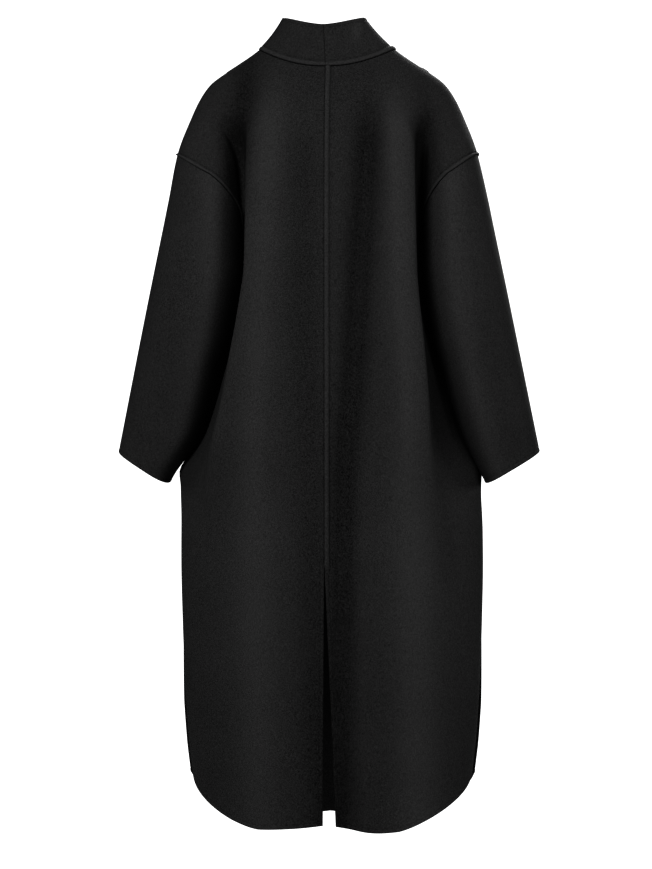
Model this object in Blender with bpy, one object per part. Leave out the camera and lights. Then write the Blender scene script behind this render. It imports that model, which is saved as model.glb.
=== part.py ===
"""Long single-breasted coat in black double-faced wool, kept in its worn, hollow form.

Metres, +Z up. The wearer faces +Y and +X is the wearer's right. The origin lies midway
between the two side neck points, where the coat hangs on the shoulders.
"""
import math
from collections import namedtuple

import bmesh
import bpy
import numpy as np

# Cloth and seams
WALL = 0.0025
SEAM_GAP = 0.0003
WELT_RISE = 0.0013
WELT_WIDTH = 0.0070
WELT_STEP = 0.0014
LAYER_GAP = 0.0009

# Lengths and openings
HEM_LOW = -1.215
HEM_START = -0.95
HEM_FLAT_PART = 0.36
HEM_SIDE_RISE = 0.079
HEM_RISE_POWER = 1.4
HEM_CENTRE_RISE = 0.006
VENT_TOP = -0.809
VENT_OPEN_RIGHT = 0.0185
VENT_OPEN_LEFT = 0.0020
SLIT_TOP = -0.925
SLIT_OPEN = 0.0045
SLIT_FLARE = 0.0040
SLIT_FADE = 0.10
SLIT_EDGE_POWER = 4
NECK_SIDE_X = 0.107
NECK_DROP_BACK = 0.0315
NECK_DROP_FRONT = 0.080
NECK_CURVE_POWER = 2.2
NECK_FADE_BACK = -0.120
NECK_FADE_FRONT = -0.200
OVERLAP = 0.040
UNDER_START = -0.075
UNDER_FULL = -0.046
HEM_FOLD_SHARE = 0.53

# Section shapes
YOKE_POWER = 2.3
ARM_POWER = 2.25
SKIRT_POWER = 2.6
YOKE_BLEND = (-0.085, -0.150)
SKIRT_BLEND = (-0.600, -0.760)
UNDERARM_Z = -0.345
BLADE_ACROSS = 0.55
BLADE_DEPTH = 0.22
CREVICE_WALL_HIGH = (0.42, 0.25)
CREVICE_WALL_LOW = (0.62, 0.75)
CREVICE_LEAVE_ANGLES = (14.0, 30.0)
BULGE_Y = {-1: -0.045, 1: 0.055}
BULGE_OUT = {-1: 0.0120, 1: 0.0015}
BULGE_LEAST = 0.001
BULGE_ARC = (32.0, 64.0)
BULGE_FADE = (-0.360, -0.440)
NECK_ROW_CENTRE_END = -0.100
ROW_LAG = 0.010
ROW_TILT_POWER = 1.3
SEAM_TURN = (150.0, 180.0)
SEAM_LIFT = 0.30
SEAM_LIFT_FADE = (60.0, 120.0)
UNDERARM_LEAN = 0.8

# Collar
COLLAR_TOP_X = 0.064
COLLAR_TOP_BACK = -0.053
COLLAR_TOP_FRONT = 0.062
COLLAR_Z_BACK = 0.0365
COLLAR_Z_SIDE = 0.0510
COLLAR_Z_FRONT = -0.008
COLLAR_SAG = 0.0028
COLLAR_STAND = 0.070
COLLAR_WELT_END = -0.052
COLLAR_BACK_POWER = 1.6
COLLAR_FRONT_POWER = 1.8

# Cuff
CUFF_Z = -0.656
CUFF_HALF = 0.0430
CUFF_SLOPE = 0.579
CUFF_BACK_DIP = 0.0055

# Buttons
BUTTON_RADIUS = 0.014
BUTTON_THICK = 0.0042
BUTTON_RIM = 0.0026
BUTTON_DISH = 0.0009
BUTTON_LIFT = 0.0005
BUTTON_SIDES = 20
BUTTON_EDGE = 0.0012
BUTTON_HEIGHTS = (-0.150, -0.320, -0.490, -0.660)

# Materials, linear colour and roughness
WOOL = (0.0095, 0.0098, 0.0104)
WOOL_ROUGHNESS = 0.92
HORN = (0.0080, 0.0075, 0.0072)
HORN_ROUGHNESS = 0.38
SIDE_NAMES = {-1: "left", 1: "right"}

# Mesh density
SHOULDER_ROWS = 6
SIDE_ROWS = 14
CENTRE_COLUMNS = 6
SIDE_COLUMNS = 9
SLEEVE_ROWS = 13
COLLAR_ROWS = 3
FRONT_CENTRE_COLUMN = 2
MAP_STEP = 0.004
MAP_CENTRE = 60
MAP_SIDE = 220
SPAN_STEPS = 16
RING_STEPS = 240
ARM_STEPS = 120

# Outer line of the shoulder and sleeve seen from behind
Outer = namedtuple("Outer", "z x")
OUTER = [
    Outer(0.000, 0.1070), Outer(-0.009, 0.1190), Outer(-0.023, 0.1400), Outer(-0.039, 0.1645),
    Outer(-0.054, 0.1840), Outer(-0.078, 0.2010), Outer(-0.110, 0.2160), Outer(-0.165, 0.2365),
    Outer(-0.236, 0.2505), Outer(-0.393, 0.2830), Outer(-0.550, 0.3150), Outer(-0.629, 0.3310),
    Outer(-0.700, 0.3450)]

# Arm tube: inner line, back and front faces, and the angle where the crevice bottoms out
Arm = namedtuple("Arm", "z inner back front crevice")
ARM = [
    Arm(0.000, 0.060, -0.030, 0.030, 105.0), Arm(-0.054, 0.110, -0.052, 0.053, 110.0),
    Arm(-0.100, 0.134, -0.067, 0.070, 116.0), Arm(-0.130, 0.142, -0.073, 0.078, 127.0),
    Arm(-0.165, 0.147, -0.079, 0.087, 146.0), Arm(-0.210, 0.1485, -0.083, 0.093, 158.0),
    Arm(-0.262, 0.1485, -0.085, 0.098, 168.0), Arm(-0.300, 0.1485, -0.086, 0.101, 174.5),
    Arm(-0.345, 0.149, -0.086, 0.103, 180.0), Arm(-0.393, 0.156, -0.084, 0.104, 180.0),
    Arm(-0.456, 0.169, -0.079, 0.105, 180.0), Arm(-0.503, 0.1835, -0.073, 0.105, 180.0),
    Arm(-0.550, 0.1965, -0.066, 0.104, 180.0), Arm(-0.600, 0.213, -0.057, 0.102, 180.0),
    Arm(-0.629, 0.225, -0.051, 0.100, 180.0), Arm(-0.700, 0.261, -0.038, 0.094, 180.0)]

# Centre lines of the back and the front
Centre = namedtuple("Centre", "z back front")
CENTRE = [
    Centre(0.000, -0.073, 0.086), Centre(-0.040, -0.091, 0.100), Centre(-0.080, -0.103, 0.112),
    Centre(-0.140, -0.115, 0.125), Centre(-0.220, -0.123, 0.136), Centre(-0.330, -0.125, 0.140),
    Centre(-0.480, -0.121, 0.134), Centre(-0.650, -0.121, 0.129), Centre(-0.850, -0.124, 0.127),
    Centre(-1.220, -0.132, 0.126)]

# Fold edges that stand beside the armholes and run down the body
Fold = namedtuple("Fold", "z left right back front")
FOLD = [
    Fold(0.000, 0.046, 0.046, -0.066, 0.077), Fold(-0.054, 0.088, 0.090, -0.088, 0.098),
    Fold(-0.110, 0.117, 0.124, -0.103, 0.113), Fold(-0.165, 0.130, 0.136, -0.113, 0.122),
    Fold(-0.260, 0.133, 0.138, -0.117, 0.127), Fold(-0.345, 0.139, 0.138, -0.118, 0.128),
    Fold(-0.393, 0.144, 0.139, -0.118, 0.127), Fold(-0.470, 0.152, 0.144, -0.118, 0.124),
    Fold(-0.550, 0.164, 0.148, -0.117, 0.120), Fold(-0.630, 0.180, 0.149, -0.114, 0.116),
    Fold(-0.700, 0.186, 0.150, -0.108, 0.112), Fold(-0.800, 0.165, 0.150, -0.110, 0.112),
    Fold(-1.220, 0.150, 0.150, -0.110, 0.110)]

# Body below the underarm: side line, and the valley between the fold edge and the side
Side = namedtuple("Side", "z x y valley_step valley_back valley_front")
SIDE = [
    Side(-0.345, 0.1490, 0.0085, 0.0055, -0.050, 0.062), Side(-0.370, 0.1470, 0.0088, 0.0040, -0.050, 0.062),
    Side(-0.393, 0.1480, 0.0090, 0.0030, -0.052, 0.064), Side(-0.456, 0.1610, 0.0090, 0.0040, -0.060, 0.071),
    Side(-0.503, 0.1755, 0.0090, 0.0055, -0.068, 0.078), Side(-0.550, 0.1890, 0.0085, 0.0065, -0.077, 0.086),
    Side(-0.600, 0.2055, 0.0080, 0.0080, -0.088, 0.094), Side(-0.640, 0.2240, 0.0075, 0.0090, -0.094, 0.098),
    Side(-0.665, 0.2350, 0.0070, 0.0100, -0.098, 0.102), Side(-0.708, 0.2370, 0.0065, 0.0110, -0.100, 0.103),
    Side(-0.803, 0.2380, 0.0060, 0.0120, -0.104, 0.106), Side(-0.897, 0.2360, 0.0050, 0.0120, -0.104, 0.106),
    Side(-0.992, 0.2323, 0.0040, 0.0120, -0.104, 0.106), Side(-1.086, 0.2260, 0.0030, 0.0120, -0.104, 0.106),
    Side(-1.133, 0.2205, 0.0030, 0.0120, -0.104, 0.106), Side(-1.220, 0.2120, 0.0030, 0.0120, -0.104, 0.106)]

# Armhole seam: angle about the arm, its height, and the height of the same row at the fold edge
Armhole = namedtuple("Armhole", "angle z fold_z")
ARMHOLE = [
    Armhole(0.0, -0.1645, -0.110), Armhole(24.0, -0.1670, -0.125), Armhole(48.0, -0.1735, -0.142),
    Armhole(70.0, -0.1835, -0.160), Armhole(90.0, -0.1955, -0.179), Armhole(110.0, -0.2115, -0.201),
    Armhole(130.0, -0.2300, -0.224), Armhole(148.0, -0.2470, -0.246), Armhole(161.0, -0.2630, -0.265),
    Armhole(171.0, -0.2960, -0.298), Armhole(180.0, -0.3450, -0.345)]

# Soft folds of the back, seen from behind: troughs are negative, ridges positive
Crease = namedtuple("Crease", "name x_top z_top x_low z_low rise half_width")
CREASES = [
    Crease("right trough from the neck", 0.086, -0.080, 0.036, -0.700, -0.0085, 0.024),
    Crease("right trough by the vent", 0.038, -0.640, 0.029, -1.300, -0.0100, 0.019),
    Crease("right ridge", 0.112, -0.180, 0.078, -0.800, 0.0055, 0.028),
    Crease("right skirt ridge", 0.085, -0.700, 0.066, -1.300, 0.0080, 0.030),
    Crease("right side trough", 0.150, -0.600, 0.152, -0.900, -0.0060, 0.020),
    Crease("left trough by the seam", -0.018, -0.150, -0.024, -0.760, -0.0050, 0.020),
    Crease("left blade ridge", -0.088, -0.160, -0.112, -0.640, 0.0045, 0.032),
    Crease("left skirt ridge", -0.125, -0.660, -0.072, -1.300, 0.0075, 0.040),
    Crease("left skirt trough", -0.016, -0.830, -0.012, -1.300, -0.0050, 0.022)]
CREASE_FADE = 0.12


def clear_scene():
    for item in list(bpy.data.objects):
        bpy.data.objects.remove(item, do_unlink=True)


def curve(rows, key, column):
    """Smooth curve through one column of a table, without overshoot."""
    pairs = sorted((getattr(row, key), getattr(row, column)) for row in rows)
    x = np.array([pair[0] for pair in pairs])
    y = np.array([pair[1] for pair in pairs])
    step = np.diff(x)
    slope = np.diff(y) / step
    tangent = np.zeros(len(x))
    tangent[0], tangent[-1] = slope[0], slope[-1]
    for i in range(1, len(x) - 1):
        if slope[i - 1] * slope[i] > 0.0:
            first = 2.0 * step[i] + step[i - 1]
            second = step[i] + 2.0 * step[i - 1]
            tangent[i] = (first + second) / (first / slope[i - 1] + second / slope[i])

    def at(value):
        v = np.clip(value, x[0], x[-1])
        k = np.clip(np.searchsorted(x, v) - 1, 0, len(step) - 1)
        t = (v - x[k]) / step[k]
        t2, t3 = t * t, t * t * t
        return ((2 * t3 - 3 * t2 + 1) * y[k] + (t3 - 2 * t2 + t) * step[k] * tangent[k]
                + (3 * t2 - 2 * t3) * y[k + 1] + (t3 - t2) * step[k] * tangent[k + 1])
    return at


def ease(low, high, value):
    t = np.clip((value - low) / (high - low), 0.0, 1.0)
    return t * t * (3.0 - 2.0 * t)


outer_x = curve(OUTER, "z", "x")
arm_inner = curve(ARM, "z", "inner")
arm_face = {-1: curve(ARM, "z", "back"), 1: curve(ARM, "z", "front")}
crevice_angle = curve(ARM, "z", "crevice")
centre_y = {-1: curve(CENTRE, "z", "back"), 1: curve(CENTRE, "z", "front")}
fold_x = {-1: curve(FOLD, "z", "left"), 1: curve(FOLD, "z", "right")}
fold_y = {-1: curve(FOLD, "z", "back"), 1: curve(FOLD, "z", "front")}
side_x = curve(SIDE, "z", "x")
side_y = curve(SIDE, "z", "y")
valley_step = curve(SIDE, "z", "valley_step")
valley_y = {-1: curve(SIDE, "z", "valley_back"), 1: curve(SIDE, "z", "valley_front")}


def power_of(value, exponent):
    return np.sign(value) * np.abs(value) ** exponent


def arm_centre_y(z):
    return 0.5 * (arm_face[-1](z) + arm_face[1](z))


def arm_point(angle, z, half):
    """Point of the arm tube; 0 degrees is outermost and 180 innermost, by way of one face."""
    a = np.radians(angle)
    middle = 0.5 * (outer_x(z) + arm_inner(z))
    reach = 0.5 * (outer_x(z) - arm_inner(z))
    face = arm_face[half](z) - arm_centre_y(z)
    x = middle + reach * power_of(np.cos(a), 2.0 / ARM_POWER)
    y = arm_centre_y(z) + face * power_of(np.sin(a), 2.0 / ARM_POWER)
    return np.stack([x, y], axis=-1)


def spline(points):
    """Rounded path through key points, with the path index of each key."""
    p = np.array(points, dtype=float)
    gap = np.sqrt(np.linalg.norm(np.diff(p, axis=0), axis=1)) + 1e-9
    tangent = np.zeros_like(p)
    rate = np.diff(p, axis=0) / gap[:, None]
    tangent[1:-1] = (rate[:-1] * gap[1:, None] + rate[1:] * gap[:-1, None]) / (gap[1:] + gap[:-1])[:, None]
    tangent[0], tangent[-1] = rate[0], rate[-1]
    path = []
    for i in range(len(gap)):
        for t in np.arange(SPAN_STEPS) / SPAN_STEPS:
            t2, t3 = t * t, t * t * t
            path.append((2 * t3 - 3 * t2 + 1) * p[i] + (t3 - 2 * t2 + t) * gap[i] * tangent[i]
                        + (3 * t2 - 2 * t3) * p[i + 1] + (t3 - t2) * gap[i] * tangent[i + 1])
    path.append(p[-1])
    return np.array(path), [i * SPAN_STEPS for i in range(len(p))]


def lengths(path):
    return np.concatenate([[0.0], np.cumsum(np.linalg.norm(np.diff(path, axis=0), axis=1))])


def resample(path, count):
    run = lengths(path)
    at = np.linspace(0.0, run[-1], count)
    return np.stack([np.interp(at, run, path[:, k]) for k in range(2)], axis=-1)


def ring_paths(width, depth, end_y, split_x, power):
    """Quarter of a rounded ring, from the centre to the side, parted at the fold edge."""
    a = np.linspace(0.0, math.pi / 2.0, RING_STEPS)
    x = width * np.sin(a) ** (2.0 / power)
    y = depth * np.cos(a) ** (2.0 / power) + end_y * (x / width) ** 2
    k = int(np.searchsorted(x, split_x))
    corner = np.array([[split_x, np.interp(split_x, x, y)]])
    ring = np.stack([x, y], axis=-1)
    return np.concatenate([ring[:k], corner]), np.concatenate([corner, ring[k:]])


def centre_keys(side, half, z):
    fold = np.array([fold_x[side](z), fold_y[half](z)])
    middle = np.array([0.0, centre_y[half](z)])
    blade = np.array([BLADE_ACROSS * fold[0], middle[1] + BLADE_DEPTH * (fold[1] - middle[1])])
    return np.array([-blade[0], blade[1]]), middle, blade, fold


def notched_upper(side, half, z):
    """Section above the underarm: back, fold edge, crevice, then the arm to its outer line."""
    mirror, middle, blade, fold = centre_keys(side, half, z)
    turn = float(crevice_angle(z))
    bottom = arm_point(turn, z, half)
    wall_high = fold + (bottom - fold) * np.array(CREVICE_WALL_HIGH)
    wall_low = fold + (bottom - fold) * np.array(CREVICE_WALL_LOW)
    leave = [arm_point(turn - step, z, half) for step in CREVICE_LEAVE_ANGLES]
    path, keys = spline([mirror, middle, blade, fold, wall_high, wall_low, bottom] + leave)
    arm_angles = np.linspace(turn - CREVICE_LEAVE_ANGLES[-1] - 1.0, 0.0, ARM_STEPS)
    arm = arm_point(arm_angles, z, half)
    return path[keys[1]:keys[3] + 1], np.concatenate([path[keys[3]:], arm])


def upper_section(side, half, z):
    yoke = ring_paths(outer_x(z), centre_y[half](z), arm_centre_y(z) * ease(0.0, -0.1, z),
                      fold_x[side](z), YOKE_POWER)
    share = float(ease(YOKE_BLEND[0], YOKE_BLEND[1], z))
    parts = [resample(yoke[0], MAP_CENTRE), resample(yoke[1], MAP_SIDE)]
    if share > 0.0:
        notch = notched_upper(side, half, z)
        counts = (MAP_CENTRE, MAP_SIDE)
        parts = [parts[i] * (1.0 - share) + resample(notch[i], counts[i]) * share for i in range(2)]
    return parts


def lower_section(side, half, z):
    """Section below the underarm: back, fold edge, valley, then out to the side line."""
    mirror, middle, blade, fold = centre_keys(side, half, z)
    valley = np.array([fold[0] + valley_step(z), valley_y[half](z)])
    end = np.array([side_x(z), side_y(z)])
    out = BULGE_OUT[half] * ease(BULGE_FADE[0], BULGE_FADE[1], z)
    bulge = np.array([max(end[0] + out, valley[0] + BULGE_LEAST), BULGE_Y[half]])
    arc = [valley + (bulge - valley) * np.array([math.sin(a), 1.0 - math.cos(a)])
           for a in np.radians(BULGE_ARC)]
    beyond = np.array([bulge[0], 2.0 * end[1] - bulge[1]])
    path, keys = spline([mirror, middle, blade, fold, valley] + arc + [bulge, end, beyond])
    notch = (path[keys[1]:keys[3] + 1], path[keys[3]:keys[8] + 1])
    skirt = ring_paths(end[0], centre_y[half](z), end[1], fold[0], SKIRT_POWER)
    share = float(ease(SKIRT_BLEND[0], SKIRT_BLEND[1], z))
    counts = (MAP_CENTRE, MAP_SIDE)
    return [resample(notch[i], counts[i]) * (1.0 - share) + resample(skirt[i], counts[i]) * share
            for i in range(2)]


def section_map(section, side, half, z_top, z_low):
    heights = np.linspace(z_low, z_top, int(round((z_top - z_low) / MAP_STEP)) + 1)
    parts = [section(side, half, z) for z in heights]
    return heights, np.array([part[0] for part in parts]), np.array([part[1] for part in parts])


def look_up(heights, sheet, z, share):
    """Point of a mapped section at a height and a share of its length."""
    row = np.clip((z - heights[0]) / (heights[1] - heights[0]), 0.0, len(heights) - 1.001)
    column = np.clip(share, 0.0, 1.0) * (sheet.shape[1] - 1.001)
    i, j = int(row), int(column)
    fi, fj = row - i, column - j
    low = sheet[i, j] * (1.0 - fj) + sheet[i, j + 1] * fj
    high = sheet[i + 1, j] * (1.0 - fj) + sheet[i + 1, j + 1] * fj
    return low * (1.0 - fi) + high * fi


Row = namedtuple("Row", "centre_z fold_z end_z angle reach")


def seam_reach(side, half, angle, z):
    """Share of the upper section, from the fold edge, at which the armhole seam lies."""
    path = notched_upper(side, half, z)[1]
    run = lengths(path)
    target = arm_point(angle, z, half)
    tail = len(path) // 4
    nearest = tail + int(np.argmin(np.linalg.norm(path[tail:] - target, axis=1)))
    return run[nearest] / run[-1]


def panel_rows(side, half):
    rows = []
    for i in range(SHOULDER_ROWS):
        t = i / SHOULDER_ROWS
        end_z = ARMHOLE[0].z * t
        rows.append(Row(NECK_ROW_CENTRE_END * t, ARMHOLE[0].fold_z * t, end_z, None, 1.0))
    for seam in ARMHOLE:
        reach = 1.0 if seam.angle == 0.0 else seam_reach(side, half, seam.angle, seam.z)
        lag = ROW_LAG * ease(UNDERARM_Z, ARMHOLE[0].fold_z, seam.fold_z)
        rows.append(Row(seam.fold_z + lag, seam.fold_z, seam.z, seam.angle, reach))
    for i in range(1, SIDE_ROWS + 1):
        z = UNDERARM_Z + (HEM_LOW - UNDERARM_Z) * (i / SIDE_ROWS)
        rows.append(Row(z, z, z, None, None))
    return rows


def hem_height(share):
    rise = HEM_SIDE_RISE * max(0.0, (share - HEM_FLAT_PART) / (1.0 - HEM_FLAT_PART)) ** HEM_RISE_POWER
    return HEM_LOW + rise + HEM_CENTRE_RISE * max(0.0, 1.0 - share / HEM_FLAT_PART) ** 2


def to_hem(z, share):
    """Rows near the bottom close up so that the last one follows the curved hem."""
    if z >= HEM_START:
        return z
    return HEM_START + (z - HEM_START) * (hem_height(share) - HEM_START) / (HEM_LOW - HEM_START)


def crease_rise(x, z):
    total = 0.0
    for crease in CREASES:
        t = (crease.z_top - z) / (crease.z_top - crease.z_low)
        run = crease.z_top - crease.z_low
        fade = ease(0.0, CREASE_FADE / run, t) * ease(1.0, 1.0 - CREASE_FADE / run, t)
        middle = crease.x_top + (crease.x_low - crease.x_top) * t
        total += crease.rise * fade * math.exp(-((x - middle) / crease.half_width) ** 2)
    return total


def under_shift(x):
    """How far the left front and collar lie inside the right ones that lap over them."""
    return (WALL + LAYER_GAP) * float(ease(UNDER_START, UNDER_FULL, x))


def panel_grid(side, half):
    """Outer points of one panel, rows from neck to hem, columns from the centre to the seam."""
    upper = section_map(upper_section, side, half, 0.0, UNDERARM_Z - 2 * MAP_STEP)
    lower = section_map(lower_section, side, half, UNDERARM_Z, HEM_LOW - MAP_STEP)
    drop, fade_z = ((NECK_DROP_BACK, NECK_FADE_BACK), (NECK_DROP_FRONT, NECK_FADE_FRONT))[half > 0]
    grid = []
    for row in panel_rows(side, half):
        below = row.reach is None
        heights, centre_map, side_map = lower if below else upper
        width = float(fold_x[side](row.centre_z))
        if half < 0:
            first = [0.0, WELT_WIDTH / width, (WELT_WIDTH + WELT_STEP) / width]
        else:
            first = [-OVERLAP / width, -0.5 * OVERLAP / width, 0.0]
        centre_shares = first + list(np.linspace(first[2], 1.0, CENTRE_COLUMNS + 1)[1:])
        reach = 1.0 if below else row.reach
        seam_len = lengths(side_map[np.argmin(np.abs(heights - row.end_z))])[-1] * reach
        margin = (WELT_WIDTH + WELT_STEP) / seam_len
        side_shares = list(np.linspace(0.0, 1.0 - margin, SIDE_COLUMNS + 1)[1:])
        side_shares += [1.0 - WELT_WIDTH / seam_len, 1.0]
        points = []
        for share in centre_shares:
            z = row.centre_z + (row.fold_z - row.centre_z) * abs(share)
            z = to_hem(z, abs(share) * HEM_FOLD_SHARE) if below else z
            x, y = look_up(heights, centre_map, z, abs(share))
            points.append([math.copysign(x, share) if share else 0.0, y, z])
            if half > 0 and share < 0.0:
                points[-1][0] = share * width
        for share in side_shares:
            z = row.fold_z + (row.end_z - row.fold_z) * share ** ROW_TILT_POWER
            z = to_hem(z, HEM_FOLD_SHARE + share * (1.0 - HEM_FOLD_SHARE)) if below else z
            x, y = look_up(heights, side_map, z, share * reach)
            points.append([x, y, z])
        if row.angle is not None:
            points[-1][:2] = arm_point(row.angle, row.end_z, half)
        for k, point in enumerate(points):
            x, y, z = point
            if not below:
                fade = max(0.0, 1.0 - z / fade_z)
                across = min(1.0, abs(x) / float(outer_x(z)))
                point[2] -= drop * fade * (1.0 - across ** NECK_CURVE_POWER)
            if half < 0:
                point[1] -= crease_rise(side * x, z)
                opening = max(0.0, VENT_TOP - z) / (VENT_TOP - HEM_LOW)
                if k < len(centre_shares) and opening > 0.0:
                    widest = VENT_OPEN_RIGHT if side > 0 else VENT_OPEN_LEFT
                    point[0] += widest * opening * (1.0 - centre_shares[k])
            elif side < 0:
                point[1] -= under_shift(-x)
            if z < SLIT_TOP and k >= len(centre_shares):
                near = side_shares[k - len(centre_shares)] ** SLIT_EDGE_POWER
                slit = min(1.0, (SLIT_TOP - z) / SLIT_FADE)
                point[1] += half * SLIT_OPEN / 2.0 * slit * near
                if half > 0:
                    point[0] += SLIT_FLARE * slit * near
        grid.append([(side * x, y, z) for x, y, z in points])
    return np.array(grid)


def unit(v):
    return v / np.maximum(np.linalg.norm(v, axis=-1, keepdims=True), 1e-12)


def grid_normals(grid, sign, before=None, after=None, wrap=False):
    """Outward normals of a grid; neighbours across a seam keep both sides alike."""
    if wrap:
        along = np.roll(grid, -1, axis=1) - np.roll(grid, 1, axis=1)
    else:
        first = grid[:, :1] if before is None else before[:, None]
        last = grid[:, -1:] if after is None else after[:, None]
        wide = np.concatenate([first, grid, last], axis=1)
        along = wide[:, 2:] - wide[:, :-2]
    tall = np.concatenate([grid[:1], grid, grid[-1:]], axis=0)
    down = tall[2:] - tall[:-2]
    return sign * unit(np.cross(along, down))


def armhole_normals(half, side, lean):
    """Normals shared by body and sleeve along the armhole seam, leaning apart at the underarm."""
    out = []
    for seam in ARMHOLE:
        along = unit(arm_point(seam.angle + 1.0, seam.z, half) - arm_point(seam.angle - 1.0, seam.z, half))
        flat = np.array([along[1], -along[0]])
        middle = np.array([0.5 * (outer_x(seam.z) + arm_inner(seam.z)), arm_centre_y(seam.z)])
        if np.dot(flat, arm_point(seam.angle, seam.z, half) - middle) < 0.0:
            flat = -flat
        turn = float(ease(SEAM_TURN[0], SEAM_TURN[1], seam.angle))
        lift = SEAM_LIFT * (1.0 - float(ease(SEAM_LIFT_FADE[0], SEAM_LIFT_FADE[1], seam.angle)))
        n = np.array([flat[0] * (1.0 - turn), flat[1] * (1.0 - turn), lift - turn])
        out.append(unit(n) * np.array([side, 1.0, 1.0]))
    out[-1] = unit(np.array([side * lean, 0.0, -1.0]))
    return np.array(out)


def inset_columns(grid, column, inner_column, amount):
    """Draw one edge of a grid back from its seam."""
    toward = unit(grid[:, inner_column] - grid[:, column])
    grid[:, column] += toward * amount


def slab(name, outer, inner, material, wrap=False):
    """Closed wall between an outer and an inner grid."""
    rows, columns = outer.shape[:2]
    mesh = bpy.data.meshes.new(name)
    work = bmesh.new()
    skins = [[[work.verts.new(point) for point in line] for line in grid] for grid in (outer, inner)]
    last = columns if wrap else columns - 1
    for r in range(rows - 1):
        for c in range(last):
            d = (c + 1) % columns
            work.faces.new([skins[0][r][c], skins[0][r][d], skins[0][r + 1][d], skins[0][r + 1][c]])
            work.faces.new([skins[1][r + 1][c], skins[1][r + 1][d], skins[1][r][d], skins[1][r][c]])
    bmesh.ops.triangulate(work, faces=work.faces[:], quad_method="SHORT_EDGE")
    for r in (0, rows - 1):
        for c in range(last):
            d = (c + 1) % columns
            quad = [skins[0][r][c], skins[1][r][c], skins[1][r][d], skins[0][r][d]]
            work.faces.new(quad if r == 0 else quad[::-1])
    if not wrap:
        for c in (0, columns - 1):
            for r in range(rows - 1):
                quad = [skins[0][r][c], skins[0][r + 1][c], skins[1][r + 1][c], skins[1][r][c]]
                work.faces.new(quad if c == 0 else quad[::-1])
    bmesh.ops.recalc_face_normals(work, faces=work.faces[:])
    work.to_mesh(mesh)
    work.free()
    mesh.materials.append(material)
    item = bpy.data.objects.new(name, mesh)
    bpy.context.scene.collection.objects.link(item)
    return item


def principled(name, colour, roughness):
    material = bpy.data.materials.new(name)
    material.use_nodes = True
    shader = material.node_tree.nodes["Principled BSDF"]
    shader.inputs["Base Color"].default_value = (*colour, 1.0)
    shader.inputs["Roughness"].default_value = roughness
    shader.inputs["Metallic"].default_value = 0.0
    return material


def body_panels(grids):
    """Back and front panels, with welts raised on their outer skins only."""
    shoulder_end = SHOULDER_ROWS
    arm_rows = slice(shoulder_end, shoulder_end + len(ARMHOLE))
    for (side, half), grid in grids.items():
        across = grids[(-side, half)]
        other = grids[(side, -half)]
        before = across[:, 1] if half < 0 else None
        normals = grid_normals(grid, side * half, before, other[:, -2])
        seam_normals = armhole_normals(half, side, UNDERARM_LEAN)
        normals[arm_rows, -1] = seam_normals
        normals[arm_rows, -2] = unit(normals[arm_rows, -2] + seam_normals)
        if half < 0:
            for r in range(len(grid)):
                if grid[r, 0, 2] > VENT_TOP:
                    normals[r, 0] = unit(normals[r, 0] * np.array([0.0, 1.0, 1.0]))
        shoulder = normals[:shoulder_end + 1, -1]
        normals[:shoulder_end + 1, -1] = unit(shoulder * np.array([1.0, 0.0, 1.0]))
        inner = grid - normals * WALL
        raised = np.zeros(grid.shape[:2])
        raised[shoulder_end:shoulder_end + len(ARMHOLE) - 1, -2:] = 1.0
        if half < 0 and side > 0:
            raised[grid[:, 0, 2] > VENT_TOP, :2] = 1.0
        outer = grid + normals * WELT_RISE * raised[:, :, None]
        for skin in (outer, inner):
            inset_columns(skin, -1, -3, SEAM_GAP / 2.0)
            if half < 0:
                inset_columns(skin, 0, 2, SEAM_GAP / 2.0)
        name = ("back_" if half < 0 else "front_") + SIDE_NAMES[side]
        slab(name, outer, inner, principled(name + "_wool", WOOL, WOOL_ROUGHNESS))


def cuff_height(angle, half):
    a = math.radians(angle)
    c = float(power_of(np.cos(a), 2.0 / ARM_POWER))
    dip = CUFF_BACK_DIP * math.sin(a) * (1.0 if half < 0 else -1.0)
    return CUFF_Z + CUFF_SLOPE * CUFF_HALF * c - dip


def sleeve(side):
    """Tube from the armhole seam to the cuff; columns match the rows of the body panels."""
    stations = [(seam.angle, -1, seam.z, i) for i, seam in enumerate(ARMHOLE)]
    stations += [(seam.angle, 1, seam.z, i) for i, seam in reversed(list(enumerate(ARMHOLE)))][1:-1]
    grid = np.zeros((SLEEVE_ROWS + 1, len(stations), 3))
    for c, (angle, half, top, _) in enumerate(stations):
        low = cuff_height(angle, half)
        for r in range(SLEEVE_ROWS + 1):
            z = top + (low - top) * r / SLEEVE_ROWS
            x, y = arm_point(angle, z, half)
            grid[r, c] = (side * x, y, z)
    normals = grid_normals(grid, -side, wrap=True)
    seams = {half: armhole_normals(half, side, -UNDERARM_LEAN) for half in (-1, 1)}
    for c, (_, half, _, i) in enumerate(stations):
        normals[0, c] = seams[half][i]
    inner = grid - normals * WALL
    for skin in (grid, inner):
        skin[0] += unit(skin[1] - skin[0]) * SEAM_GAP
    name = "sleeve_" + SIDE_NAMES[side]
    slab(name, grid, inner, principled(name + "_wool", WOOL, WOOL_ROUGHNESS), wrap=True)


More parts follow.
